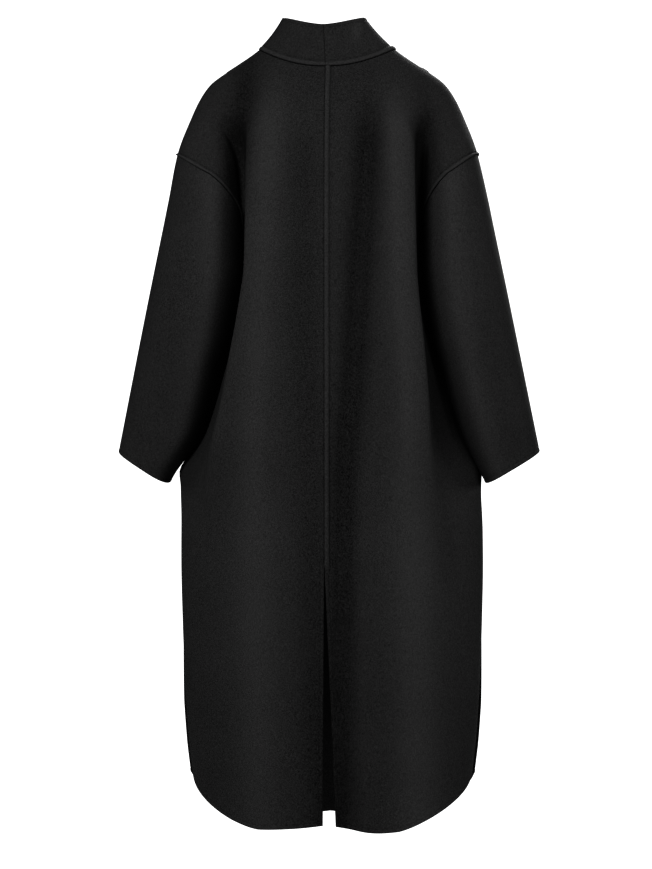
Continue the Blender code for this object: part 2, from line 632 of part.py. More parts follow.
def collar_grid(side, grids):
    """Standing collar on the neck row of the panels, from the centre back to the front edge."""
    base = np.concatenate([grids[(side, -1)][0], grids[(side, 1)][0][-2::-1]])
    levels = [0.0, WELT_WIDTH / COLLAR_STAND, (WELT_WIDTH + WELT_STEP) / COLLAR_STAND]
    levels += list(np.linspace(levels[-1], 1.0, COLLAR_ROWS + 1)[1:])
    top = np.zeros_like(base)
    for k, (x, y, z) in enumerate(base):
        t = min(1.0, abs(x) / NECK_SIDE_X)
        if y < 0.0:
            top[k] = (x * COLLAR_TOP_X / NECK_SIDE_X, y * COLLAR_TOP_BACK / centre_y[-1](0.0),
                      COLLAR_Z_BACK + (COLLAR_Z_SIDE - COLLAR_Z_BACK) * t ** COLLAR_BACK_POWER)
        else:
            shift = under_shift(x) if side < 0 else 0.0
            top[k] = (x * COLLAR_TOP_X / NECK_SIDE_X,
                      (y + shift) * COLLAR_TOP_FRONT / centre_y[1](0.0) - shift,
                      COLLAR_Z_SIDE + (COLLAR_Z_FRONT - COLLAR_Z_SIDE) * (1.0 - t ** COLLAR_FRONT_POWER))
    rows = []
    for level in levels:
        line = base + (top - base) * level
        axis = unit(line * np.array([1.0, 1.0, 0.0]))
        rows.append(line - axis * COLLAR_SAG * math.sin(math.pi * level))
    return np.array(rows)


def collars(grids):
    pair = {side: collar_grid(side, grids) for side in (-1, 1)}
    for side, grid in pair.items():
        normals = grid_normals(grid, side, before=pair[-side][:, 1])
        normals[:, 0] = unit(normals[:, 0] * np.array([0.0, 1.0, 1.0]))
        inner = grid - normals * WALL
        raised = np.zeros(grid.shape[:2])
        raised[:2] = 1.0
        if side < 0:
            raised[:, (grid[0, :, 0] > COLLAR_WELT_END) & (grid[0, :, 1] > 0.0)] = 0.0
        outer = grid + normals * WELT_RISE * raised[:, :, None]
        for skin in (outer, inner):
            skin[0] += unit(skin[-1] - skin[0]) * SEAM_GAP
            inset_columns(skin, 0, 3, SEAM_GAP / 2.0)
        name = "collar_" + SIDE_NAMES[side]
        slab(name, outer, inner, principled(name + "_wool", WOOL, WOOL_ROUGHNESS))


def button(number, z, front):
    """Turned disc with a raised rim, lying square on the slope of the upper front."""
    name = f"button_{number}"
    edge = BUTTON_RADIUS - BUTTON_RIM
    profile = [(BUTTON_RADIUS - BUTTON_EDGE, 0.0), (BUTTON_RADIUS, BUTTON_EDGE),
               (BUTTON_RADIUS, BUTTON_THICK - BUTTON_EDGE), (BUTTON_RADIUS - BUTTON_DISH, BUTTON_THICK),
               (edge, BUTTON_THICK), (edge - BUTTON_DISH, BUTTON_THICK - BUTTON_DISH)]
    seat, out, up = button_seat(front, z)
    across = np.array([1.0, 0.0, 0.0])
    work = bmesh.new()
    rings = []
    for radius, rise in profile:
        rings.append([work.verts.new(seat + out * rise + radius * (across * math.sin(a) + up * math.cos(a)))
                      for a in np.linspace(0.0, 2.0 * math.pi, BUTTON_SIDES + 1)[:-1]])
    for low, high in zip(rings, rings[1:]):
        for c in range(BUTTON_SIDES):
            d = (c + 1) % BUTTON_SIDES
            work.faces.new([low[c], low[d], high[d], high[c]])
    work.faces.new(rings[0][::-1])
    work.faces.new(rings[-1])
    bmesh.ops.recalc_face_normals(work, faces=work.faces[:])
    mesh = bpy.data.meshes.new(name)
    work.to_mesh(mesh)
    work.free()
    mesh.materials.append(principled(name + "_horn", HORN, HORN_ROUGHNESS))
    bpy.context.scene.collection.objects.link(bpy.data.objects.new(name, mesh))


def button_seat(front, z):
    """Seat point, outward axis and up axis of a button on the centre line of the upper front."""
    line = front[:, FRONT_CENTRE_COLUMN][::-1]
    above, below, here = (np.array([0.0, np.interp(h, line[:, 2], line[:, 1]), h])
                          for h in (z + BUTTON_RADIUS, z - BUTTON_RADIUS, z))
    up = unit(above - below)
    out = np.array([0.0, up[2], -up[1]])
    swell = max(float(np.dot(here - 0.5 * (above + below), out)), 0.0)
    return 0.5 * (above + below) + out * (swell + BUTTON_LIFT), out, up


def main():
    clear_scene()
    grids = {(side, half): panel_grid(side, half) for side in (-1, 1) for half in (-1, 1)}
    body_panels(grids)
    for side in (-1, 1):
        sleeve(side)
    collars(grids)
    for number, z in enumerate(BUTTON_HEIGHTS, start=1):
        button(number, z, grids[(1, 1)])


main()
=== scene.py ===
import math
from collections import namedtuple

import bpy
import numpy as np
from mathutils import Matrix


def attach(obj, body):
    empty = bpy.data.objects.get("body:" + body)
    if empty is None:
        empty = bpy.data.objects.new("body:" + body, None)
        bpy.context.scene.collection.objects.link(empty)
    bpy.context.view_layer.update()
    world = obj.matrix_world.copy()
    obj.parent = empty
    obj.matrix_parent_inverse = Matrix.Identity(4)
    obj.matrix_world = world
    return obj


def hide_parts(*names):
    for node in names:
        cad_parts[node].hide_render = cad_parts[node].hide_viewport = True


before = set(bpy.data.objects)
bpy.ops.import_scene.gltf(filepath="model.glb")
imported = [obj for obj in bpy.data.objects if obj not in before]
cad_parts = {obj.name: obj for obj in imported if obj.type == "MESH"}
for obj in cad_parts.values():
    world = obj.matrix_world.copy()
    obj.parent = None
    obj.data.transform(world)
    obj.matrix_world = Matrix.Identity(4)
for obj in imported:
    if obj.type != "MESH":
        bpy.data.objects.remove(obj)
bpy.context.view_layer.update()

# Names of the sides
SIDE_NAMES = {-1: "left", 1: "right"}

# Cloth, seams and turned edges, in metres and degrees
WALL = 0.0025
SEAM_GAP = 0.0003
WELT_RISE = 0.0019
WELT_WIDTH = 0.0066
WELT_STEP = 0.0020
WELT_CROWN = 0.50
WELT_FOOT = 0.45
WELT_FOOT_WIDTH = 0.0014
WELT_FOOT_OUT = WELT_WIDTH + 1.5 * WELT_STEP
LAYER_GAP = 0.0009
EDGE_ROUND = 0.0011
EDGE_LINE = 0.0064
EDGE_LINE_WIDTH = 0.0009
EDGE_LINE_DEPTH = 0.00045
EDGE_SWELL = 0.00030
SEAM_ALLOWANCE = 0.010
SMOOTH_CLOTH = 60.0
EDGE_STEPS = np.array([0.00001, 0.0003, 0.0006, 0.0010, 0.0016, 0.0028, 0.0044, 0.0055, 0.0062, 0.0069,
                       0.0076, 0.0083, 0.0092, 0.0106, 0.0130])
SHORT_STEPS = EDGE_STEPS[:7]

# Painted shade and highlight, lighter above nought and darker below, with a tone shift for each piece
PAINTED_LIGHT_LAYER = "painted_shade_and_highlight"
PAINTED_LIGHT_FULL_DEPTH = 0.010
PAINTED_LIGHT_STRENGTH = 0.15
BODY_TONE_SHIFT = -0.22
YOKE_PAINTED_SHADE = -0.30
YOKE_PAINTED_SHADE_Z = (-0.200, -0.060)
SKIRT_PAINTED_SHADE = -0.30
SKIRT_PAINTED_SHADE_Z = (-0.800, -1.150)
COLLAR_TONE_SHIFT = -0.45
DENT_PAINTED_HIGHLIGHT = 0.80
WELT_PAINTED_LIGHT = 0.56
EDGE_PAINTED_SHADE = 0.9

# Sleeve ridge, its painted highlight and width, and the sleeve's tone shift
SLEEVE_RIDGE_START = {-1: 90.0, 1: 78.0}
SLEEVE_RIDGE_TURN = 60.0
SLEEVE_RIDGE_WIDTH = 21.0
SLEEVE_RIDGE_PAINTED_HIGHLIGHT = 0.90
SLEEVE_RIDGE_RISE = 0.0040
SLEEVE_RIDGE_FADE = 0.060
SLEEVE_TONE_SHIFT = -0.32
RIGHT_WIDER = 0.0026
RIGHT_WIDER_FADE = (0.015, 0.080)

# Lengths and openings
HEM_LOW = -1.215
HEM_START = -0.95
HEM_FLAT_PART = 0.36
HEM_SIDE_RISE = 0.079
HEM_RISE_POWER = 1.4
HEM_CENTRE_RISE = 0.006
VENT_TOP = -0.809
VENT_OPEN_RIGHT = 0.0185
VENT_OPEN_LEFT = 0.0020
VENT_FADE = 0.006
SLIT_TOP = -0.925
SLIT_OPEN = 0.0045
SLIT_FLARE = 0.0040
SLIT_FADE = 0.10
SLIT_EDGE_POWER = 4
NECK_SIDE_X = 0.107
NECK_DROP = {-1: 0.0315, 1: 0.080}
NECK_FADE = {-1: -0.120, 1: -0.200}
NECK_CURVE_POWER = 2.2
OVERLAP = 0.040
LAP_COLUMNS = np.array([-0.5, -0.2])
UNDER_START = -0.075
UNDER_FULL = -0.046
HEM_FOLD_SHARE = 0.53
SKIRT_LEAN = 0.0066
LEAN_MORE = 0.0016
LEAN_MORE_RUN = 0.4
LEAN_START = (-0.600, -0.760)
HEM_SAG = 0.0058
HEM_SAG_X = 0.066
HEM_SAG_WIDTH = 0.055

# Section shapes
YOKE_POWER = 2.3
YOKE_END_Z = -0.1
ARM_POWER = 2.25
SKIRT_POWER = 2.1
YOKE_BLEND = (-0.085, -0.150)
SKIRT_BLEND = (-0.600, -0.760)
UNDERARM_Z = -0.345
BLADE_ACROSS = 0.55
BLADE_DEPTH = 0.22
CREVICE_WALL_HIGH = (0.16, 0.30)
CREVICE_WALL_LOW = (0.42, 0.78)
CREVICE_LEAVE_ANGLES = (14.0, 30.0)
BULGE_Y = {-1: -0.045, 1: 0.055}
BULGE_OUT = {-1: 0.0010, 1: 0.0125}
SLOT_WALL = ((0.10, 0.26), (0.32, 0.48), (0.54, 0.66), (0.78, 0.84))
BULGE_LEAST = 0.001
BULGE_ARC = (32.0, 64.0)
BULGE_FADE = (-0.340, -0.390)
NECK_ROW_CENTRE_END = -0.100
ROW_LAG = 0.010
ROW_TILT_POWER = 1.3
SEAM_TURN = (150.0, 180.0)
SEAM_LIFT = 0.30
SEAM_LIFT_FADE = (60.0, 120.0)
SEAM_REACH_BACK = 0.020
JOIN_PLACES = 0.45
WELT_END_ANGLES = (160.0, 172.0)
LEFT_CLOSER = 0.0165
LEFT_CLOSER_REACH = 0.030
LEFT_CLOSER_TOP = (-0.100, -0.190)
LEFT_CLOSER_LOW = (-0.672, -0.600)

# Collar and cuff
COLLAR_TOP_X = 0.064
COLLAR_TOP_BACK = -0.053
COLLAR_TOP_FRONT = 0.062
COLLAR_Z_BACK = 0.0365
COLLAR_Z_SIDE = 0.0510
COLLAR_Z_FRONT = -0.008
COLLAR_SAG = 0.0028
COLLAR_STAND = 0.070
COLLAR_WELT_END = (-0.052, -0.060)
COLLAR_BACK_POWER = 1.6
COLLAR_FRONT_POWER = 1.8
COLLAR_LEAN = 0.0045
COLLAR_DENT = 0.0040
DENT_X = 0.046
DENT_Z = 0.028
DENT_WIDTH = 0.007
DENT_HEIGHT = 0.016
CUFF_Z = -0.656
CUFF_HALF = 0.0430
CUFF_SLOPE = 0.579
CUFF_BACK_DIP = 0.0055

# Buttons and buttonholes
BUTTON_RADIUS = 0.014
BUTTON_THICK = 0.0042
BUTTON_RIM = 0.0026
BUTTON_DISH = 0.0009
BUTTON_LIFT = 0.0005
BUTTON_EDGE = 0.0005
BUTTON_SIDES = 64
BUTTON_EDGE_STEPS = 4
BUTTON_TOP_SHARE = 0.9
BUTTON_BACK_SHARE = 0.1
BUTTON_BACK_INSET = 0.45
BUTTON_HEIGHTS = (-0.150, -0.320, -0.490, -0.660)
HOLE_RADIUS = 0.00095
HOLE_STEP = 0.0022
HOLE_SIDES = 24
HOLE_CUT = 3.0 * BUTTON_THICK
THREAD_RADIUS = 0.00042
THREAD_STEPS = 32
ROUND_STEPS = 10
BUTTONHOLE_LENGTH = 0.0320
BUTTONHOLE_HALF = 0.0016
BUTTONHOLE_BEAD = 0.0007
BUTTONHOLE_BACK = 0.0030
BUTTONHOLE_STEPS = 28
BUTTONHOLE_FINER = 3
SMOOTH_HARD = 40.0
NEARLY_NOUGHT = 0.00001

# Mesh density
SHOULDER_ROWS = 6
SIDE_ROWS = 14
MAP_STEP = 0.002
LAST_CELL = 1.001
LEAST_GAP = 1e-9
TINY = 1e-12
MAP_CENTRE = 90
MAP_SIDE = 320
SPAN_STEPS = 16
RING_STEPS = 240
ARM_STEPS = 160
CENTRE_COLUMNS = 36
SIDE_COLUMNS = 54
NECK_PLACES = 32
NECK_FIRST_PLACE = 0.34
NECK_ROW_LENGTH = 0.020
SEAM_PLACES = 71
SIDE_PLACES = 108
HEM_LAST_PLACE = 0.30
SLEEVE_COLUMNS = 68
SLEEVE_FIRST_PLACE = 0.12
SLEEVE_ROWS = 84
UNDERARM_RUN = 0.050
COLLAR_ROWS = 18
COLLAR_FIRST_ROW = 0.0152
UNDERARM_PLACE = SHOULDER_ROWS + 10
HEM_PLACE = UNDERARM_PLACE + SIDE_ROWS

# Studio
FLOOR_Z = -1.450
FLOOR_RADIUS = 1.38
FLOOR_SIDES = 128
PIXEL = 0.001575
IMAGE_WIDTH = 652.0
IMAGE_HEIGHT = 869.0
ORIGIN_PIXEL_X = 327.5
CAMERA_DISTANCE = 6.0
CAMERA_TURN = 2.5
CAMERA_Z = -0.6048
SENSOR = 36.0

Lamp = namedtuple("Lamp", "name x y z size power")
LAMPS = [Lamp(*row) for row in (
    ("back_softbox", -1.0, -3.4, 1.2, 1.4, 40.0),
    ("back_fill", 2.6, -2.6, 0.2, 1.4, 9.0),
    ("front_softbox", 1.0, 3.4, 1.5, 1.4, 42.0),
    ("left_softbox", -3.6, 0.7, 0.5, 1.4, 9.0),
    ("right_softbox", 3.6, 0.7, 0.5, 1.4, 17.0),
    ("top_softbox", 0.6, -0.6, 3.2, 1.6, 6.0))]
LAMP_AIM_Z = -0.30
LAMP_SPREAD = 75.0
SURROUND = "#2c2c2c"

# Outer line of the shoulder and sleeve seen from behind
Outer = namedtuple("Outer", "z x")
OUTER = [Outer(*row) for row in (
    (0.000, 0.1070), (-0.009, 0.1190), (-0.023, 0.1400), (-0.039, 0.1645), (-0.054, 0.1840),
    (-0.078, 0.2010), (-0.110, 0.2160), (-0.165, 0.2365), (-0.236, 0.2505), (-0.393, 0.2830),
    (-0.550, 0.3150), (-0.629, 0.3310), (-0.700, 0.3450))]

# Arm tube: inner line, back and front faces, and the angle where the crevice bottoms out
Arm = namedtuple("Arm", "z inner back front crevice")
ARM = [Arm(*row) for row in (
    (0.000, 0.060, -0.030, 0.030, 105.0), (-0.054, 0.110, -0.052, 0.053, 110.0),
    (-0.100, 0.134, -0.067, 0.070, 116.0), (-0.130, 0.142, -0.073, 0.078, 127.0),
    (-0.165, 0.147, -0.079, 0.087, 146.0), (-0.210, 0.1485, -0.083, 0.093, 158.0),
    (-0.262, 0.1485, -0.085, 0.098, 168.0), (-0.300, 0.1485, -0.086, 0.101, 174.5),
    (-0.345, 0.149, -0.086, 0.103, 180.0), (-0.393, 0.156, -0.084, 0.104, 180.0),
    (-0.456, 0.169, -0.079, 0.105, 180.0), (-0.503, 0.1835, -0.073, 0.105, 180.0),
    (-0.550, 0.1965, -0.066, 0.104, 180.0), (-0.600, 0.213, -0.057, 0.102, 180.0),
    (-0.629, 0.225, -0.051, 0.100, 180.0), (-0.700, 0.261, -0.038, 0.094, 180.0))]

# Centre lines of the back and the front
Centre = namedtuple("Centre", "z back front")
CENTRE = [Centre(*row) for row in (
    (0.000, -0.073, 0.086), (-0.040, -0.091, 0.100), (-0.080, -0.103, 0.112), (-0.140, -0.115, 0.125),
    (-0.220, -0.123, 0.136), (-0.330, -0.125, 0.140), (-0.480, -0.121, 0.134), (-0.650, -0.121, 0.129),
    (-0.850, -0.124, 0.127), (-1.220, -0.132, 0.126))]

# Fold edges that stand beside the armholes and run down the body
Fold = namedtuple("Fold", "z left right back front")
FOLD = [Fold(*row) for row in (
    (0.000, 0.046, 0.046, -0.066, 0.077), (-0.054, 0.088, 0.090, -0.088, 0.098),
    (-0.110, 0.112, 0.124, -0.103, 0.113), (-0.165, 0.121, 0.136, -0.113, 0.122),
    (-0.260, 0.122, 0.138, -0.117, 0.127), (-0.345, 0.128, 0.140, -0.118, 0.128),
    (-0.393, 0.133, 0.144, -0.118, 0.127), (-0.470, 0.143, 0.152, -0.118, 0.124),
    (-0.550, 0.157, 0.158, -0.117, 0.120), (-0.630, 0.175, 0.161, -0.114, 0.116),
    (-0.700, 0.184, 0.163, -0.108, 0.112), (-0.800, 0.165, 0.160, -0.110, 0.112),
    (-1.220, 0.150, 0.150, -0.110, 0.110))]

# Body below the underarm: side line, and the valley between the fold edge and the side
Side = namedtuple("Side", "z x y valley_step valley_y")
SIDE = [Side(*row) for row in (
    (-0.345, 0.1490, 0.0085, 0.0055, 0.062), (-0.370, 0.1470, 0.0088, 0.0040, 0.062),
    (-0.393, 0.1480, 0.0090, 0.0030, 0.064), (-0.456, 0.1610, 0.0090, 0.0040, 0.071),
    (-0.503, 0.1755, 0.0090, 0.0055, 0.078), (-0.550, 0.1890, 0.0085, 0.0065, 0.086),
    (-0.600, 0.2055, 0.0080, 0.0080, 0.094), (-0.640, 0.2240, 0.0075, 0.0090, 0.098),
    (-0.665, 0.2350, 0.0070, 0.0100, 0.102), (-0.708, 0.2370, 0.0065, 0.0110, 0.103),
    (-0.803, 0.2380, 0.0060, 0.0120, 0.106), (-0.897, 0.2360, 0.0050, 0.0120, 0.106),
    (-0.992, 0.2323, 0.0040, 0.0120, 0.106), (-1.086, 0.2260, 0.0030, 0.0120, 0.106),
    (-1.133, 0.2205, 0.0030, 0.0120, 0.106), (-1.220, 0.2120, 0.0030, 0.0120, 0.106))]

# Armhole seam: angle about the arm, its height, and the height of the same row at the fold edge
Armhole = namedtuple("Armhole", "place angle z fold_z")
ARMHOLE = [Armhole(*row) for row in (
    (0, 0.0, -0.1645, -0.110), (1, 24.0, -0.1670, -0.125), (2, 48.0, -0.1735, -0.142),
    (3, 70.0, -0.1835, -0.160), (4, 90.0, -0.1955, -0.179), (5, 110.0, -0.2115, -0.201),
    (6, 130.0, -0.2300, -0.224), (7, 148.0, -0.2470, -0.246), (8, 161.0, -0.2630, -0.265),
    (9, 171.0, -0.2960, -0.298), (10, 180.0, -0.3450, -0.345))]

# Soft folds of the back and the front: troughs are negative, ridges positive
Crease = namedtuple("Crease", "name x_top z_top x_low z_low rise half_width")
BACK_CREASES = [Crease(*row) for row in (
    ("left ridge from the shoulder", -0.076, -0.010, -0.115, -0.760, 0.0085, 0.028),
    ("left shoulder trough", -0.116, 0.040, -0.146, -0.290, -0.0095, 0.022),
    ("left skirt ridge", -0.114, -0.640, -0.098, -1.320, 0.0085, 0.036),
    ("left trough beside the seam", -0.034, -0.090, -0.020, -0.800, -0.0050, 0.026),
    ("left skirt trough", -0.020, -0.680, -0.002, -1.320, -0.0070, 0.026),
    ("right trough from the neck", 0.076, -0.045, 0.033, -0.680, -0.0125, 0.022),
    ("right trough by the vent", 0.033, -0.560, 0.020, -1.320, -0.0125, 0.020),
    ("right ridge from the shoulder", 0.104, -0.020, 0.136, -0.700, 0.0105, 0.026),
    ("right shoulder trough", 0.146, -0.010, 0.168, -0.290, -0.0050, 0.016),
    ("right skirt ridge", 0.133, -0.580, 0.146, -1.320, 0.0100, 0.036),
    ("right side trough", 0.182, -0.600, 0.188, -0.900, -0.0025, 0.018))]
FRONT_CREASES = [Crease(*row) for row in (
    ("right front ridge from the shoulder", 0.088, -0.030, 0.118, -0.720, 0.0080, 0.027),
    ("right front trough beside the buttons", 0.056, -0.140, 0.050, -0.600, -0.0050, 0.020),
    ("right front skirt trough", 0.064, -0.560, 0.078, -1.320, -0.0090, 0.024),
    ("right front skirt ridge", 0.122, -0.640, 0.134, -1.320, 0.0085, 0.034),
    ("left front ridge from the shoulder", -0.082, -0.040, -0.110, -0.820, 0.0090, 0.028),
    ("left front trough from the neck", -0.058, -0.160, -0.066, -0.700, -0.0065, 0.020),
    ("left front skirt trough", -0.068, -0.620, -0.054, -1.320, -0.0095, 0.024),
    ("left front skirt ridge", -0.116, -0.720, -0.128, -1.320, 0.0090, 0.032))]
CREASES = {-1: BACK_CREASES, 1: FRONT_CREASES}
CREASE_FADE = 0.12


def curve_weights(t):
    """Weights of start, start tangent, end and end tangent on a smooth span."""
    t2, t3 = t * t, t * t * t
    return 2 * t3 - 3 * t2 + 1, t3 - 2 * t2 + t, 3 * t2 - 2 * t3, t3 - t2


def curve(rows, key, column):
    """Smooth curve through one column of a table, without overshoot."""
    pairs = sorted((getattr(row, key), getattr(row, column)) for row in rows)
    x = np.array([pair[0] for pair in pairs], dtype=float)
    y = np.array([pair[1] for pair in pairs], dtype=float)
    step = np.diff(x)
    slope = np.diff(y) / step
    tangent = np.zeros(len(x))
    tangent[0], tangent[-1] = slope[0], slope[-1]
    for i in range(1, len(x) - 1):
        if slope[i - 1] * slope[i] > 0.0:
            first = 2.0 * step[i] + step[i - 1]
            second = step[i] + 2.0 * step[i - 1]
            tangent[i] = (first + second) / (first / slope[i - 1] + second / slope[i])

    def at(value):
        v = np.clip(value, x[0], x[-1])
        k = np.clip(np.searchsorted(x, v) - 1, 0, len(step) - 1)
        a, b, c, d = curve_weights((v - x[k]) / step[k])
        return a * y[k] + b * step[k] * tangent[k] + c * y[k + 1] + d * step[k] * tangent[k + 1]
    return at


def ease(low, high, value):
    t = np.clip((value - low) / (high - low), 0.0, 1.0)
    return t * t * (3.0 - 2.0 * t)


def bump_line(distance, width):
    return np.exp(-(distance / width) ** 2)


def unit(v):
    return v / np.maximum(np.linalg.norm(v, axis=-1, keepdims=True), TINY)


outer_x = curve(OUTER, "z", "x")
arm_inner = curve(ARM, "z", "inner")
arm_face = {-1: curve(ARM, "z", "back"), 1: curve(ARM, "z", "front")}
crevice_angle = curve(ARM, "z", "crevice")
centre_y = {-1: curve(CENTRE, "z", "back"), 1: curve(CENTRE, "z", "front")}
fold_x = {-1: curve(FOLD, "z", "left"), 1: curve(FOLD, "z", "right")}
fold_y = {-1: curve(FOLD, "z", "back"), 1: curve(FOLD, "z", "front")}
side_x = curve(SIDE, "z", "x")
side_y = curve(SIDE, "z", "y")
valley_step = curve(SIDE, "z", "valley_step")
valley_y = curve(SIDE, "z", "valley_y")
seam_angle = curve(ARMHOLE, "place", "angle")
seam_z = curve(ARMHOLE, "place", "z")


def power_of(value, exponent):
    return np.sign(value) * np.abs(value) ** exponent


def arm_centre_y(z):
    return 0.5 * (arm_face[-1](z) + arm_face[1](z))


def arm_point(angle, z, half):
    """Point of the arm tube; 0 degrees is outermost and 180 innermost, by way of one face."""
    a = np.radians(angle)
    middle = 0.5 * (outer_x(z) + arm_inner(z))
    reach = 0.5 * (outer_x(z) - arm_inner(z))
    face = np.where(np.asarray(half) < 0, arm_face[-1](z), arm_face[1](z)) - arm_centre_y(z)
    x = middle + reach * power_of(np.cos(a), 2.0 / ARM_POWER)
    y = arm_centre_y(z) + face * power_of(np.sin(a), 2.0 / ARM_POWER)
    return np.stack([x, y], axis=-1)


def spline(points):
    """Rounded path through key points, with the path index of each key."""
    p = np.array(points, dtype=float)
    gap = (np.sqrt(np.linalg.norm(np.diff(p, axis=0), axis=1)) + LEAST_GAP)[:, None]
    rate = np.diff(p, axis=0) / gap
    tangent = np.zeros_like(p)
    tangent[1:-1] = (rate[:-1] * gap[1:] + rate[1:] * gap[:-1]) / (gap[1:] + gap[:-1])
    tangent[0], tangent[-1] = rate[0], rate[-1]
    a, b, c, d = curve_weights((np.arange(SPAN_STEPS) / SPAN_STEPS)[None, :, None])
    spans = (a * p[:-1, None] + b * (gap * tangent[:-1])[:, None]
             + c * p[1:, None] + d * (gap * tangent[1:])[:, None])
    path = np.concatenate([spans.reshape(-1, 2), p[-1:]])
    return path, [i * SPAN_STEPS for i in range(len(p))]


def lengths(path):
    return np.concatenate([[0.0], np.cumsum(np.linalg.norm(np.diff(path, axis=0), axis=1))])


def resample(path, count):
    run = lengths(path)
    at = np.linspace(0.0, run[-1], count)
    return np.stack([np.interp(at, run, path[:, k]) for k in range(2)], axis=-1)


def ring_paths(width, depth, end_y, split_x, power):
    """Quarter of a rounded ring, from the centre to the side, parted at the fold edge."""
    a = np.linspace(0.0, math.pi / 2.0, RING_STEPS)
    x = width * np.sin(a) ** (2.0 / power)
    y = depth * np.cos(a) ** (2.0 / power) + end_y * (x / width) ** 2
    k = int(np.searchsorted(x, split_x))
    corner = np.array([[split_x, np.interp(split_x, x, y)]])
    ring = np.stack([x, y], axis=-1)
    return np.concatenate([ring[:k], corner]), np.concatenate([corner, ring[k:]])


def centre_keys(side, half, z):
    fold = np.array([fold_x[side](z), fold_y[half](z)])
    middle = np.array([0.0, centre_y[half](z)])
    blade = np.array([BLADE_ACROSS * fold[0], middle[1] + BLADE_DEPTH * (fold[1] - middle[1])])
    return np.array([-blade[0], blade[1]]), middle, blade, fold


def notched_upper(side, half, z):
    """Section above the underarm: back, fold edge, crevice, then the arm to its outer line."""
    mirror, middle, blade, fold = centre_keys(side, half, z)
    turn = float(crevice_angle(z))
    bottom = arm_point(turn, z, half)
    wall_high = fold + (bottom - fold) * np.array(CREVICE_WALL_HIGH)
    wall_low = fold + (bottom - fold) * np.array(CREVICE_WALL_LOW)
    leave = [arm_point(turn - step, z, half) for step in CREVICE_LEAVE_ANGLES]
    path, keys = spline([mirror, middle, blade, fold, wall_high, wall_low, bottom] + leave)
    arm_angles = np.linspace(turn - CREVICE_LEAVE_ANGLES[-1] - 1.0, 0.0, ARM_STEPS)
    arm = arm_point(arm_angles, z, half)
    return path[keys[1]:keys[3] + 1], np.concatenate([path[keys[3]:], arm])


def upper_section(side, half, z):
    yoke = ring_paths(outer_x(z), centre_y[half](z), arm_centre_y(z) * ease(0.0, YOKE_END_Z, z),
                      fold_x[side](z), YOKE_POWER)
    share = float(ease(YOKE_BLEND[0], YOKE_BLEND[1], z))
    counts = (MAP_CENTRE, MAP_SIDE)
    parts = [resample(yoke[i], counts[i]) for i in range(2)]
    if share > 0.0:
        notch = notched_upper(side, half, z)
        parts = [parts[i] * (1.0 - share) + resample(notch[i], counts[i]) * share for i in range(2)]
    return parts


def lower_section(side, half, z):
    """Section below the underarm: back, fold edge, valley, then out to the side line."""
    mirror, middle, blade, fold = centre_keys(side, half, z)
    valley = np.array([fold[0] + valley_step(z), valley_y(z)])
    end = np.array([side_x(z), side_y(z)])
    out = BULGE_OUT[half] * ease(BULGE_FADE[0], BULGE_FADE[1], z)
    bulge = np.array([max(end[0] + out, valley[0] + BULGE_LEAST), BULGE_Y[half]])
    if half < 0:
        wall = [fold + (end - fold) * np.array(share) for share in SLOT_WALL]
    else:
        arc = [valley + (bulge - valley) * np.array([math.sin(a), 1.0 - math.cos(a)])
               for a in np.radians(BULGE_ARC)]
        wall = [valley] + arc + [bulge]
    beyond = np.array([bulge[0], 2.0 * end[1] - bulge[1]])
    path, keys = spline([mirror, middle, blade, fold] + wall + [end, beyond])
    notch = (path[keys[1]:keys[3] + 1], path[keys[3]:keys[8] + 1])
    skirt = ring_paths(end[0], centre_y[half](z), end[1], fold[0], SKIRT_POWER)
    share = float(ease(SKIRT_BLEND[0], SKIRT_BLEND[1], z))
    counts = (MAP_CENTRE, MAP_SIDE)
    return [resample(notch[i], counts[i]) * (1.0 - share) + resample(skirt[i], counts[i]) * share
            for i in range(2)]


def section_map(section, side, half, z_top, z_low):
    heights = np.linspace(z_low, z_top, int(round((z_top - z_low) / MAP_STEP)) + 1)
    parts = [section(side, half, z) for z in heights]
    return heights, np.array([part[0] for part in parts]), np.array([part[1] for part in parts])


def look_up(heights, sheet, z, share):
    """Points of a mapped section at given heights and shares of its length."""
    row = np.clip((z - heights[0]) / (heights[1] - heights[0]), 0.0, len(heights) - LAST_CELL)
    column = np.clip(share, 0.0, 1.0) * (sheet.shape[1] - LAST_CELL)
    i, j = row.astype(int), column.astype(int)
    fi, fj = (row - i)[:, None], (column - j)[:, None]
    low = sheet[i, j] * (1.0 - fj) + sheet[i, j + 1] * fj
    high = sheet[i + 1, j] * (1.0 - fj) + sheet[i + 1, j + 1] * fj
    return low * (1.0 - fi) + high * fi


def seam_reach(side, half, angle, z):
    """Share of the upper section, from the fold edge, at which the armhole seam lies."""
    path = notched_upper(side, half, z)[1]
    run = lengths(path)
    target = arm_point(angle, z, half)
    tail = len(path) // 4
    start, step = path[tail:-1], np.diff(path[tail:], axis=0)
    square = np.maximum((step ** 2).sum(axis=1), TINY)
    along = np.clip(((target - start) * step).sum(axis=1) / square, 0.0, 1.0)
    nearest = int(np.argmin(np.linalg.norm(start + step * along[:, None] - target, axis=1)))
    at = run[tail + nearest] + along[nearest] * (run[tail + nearest + 1] - run[tail + nearest])
    return at / run[-1]


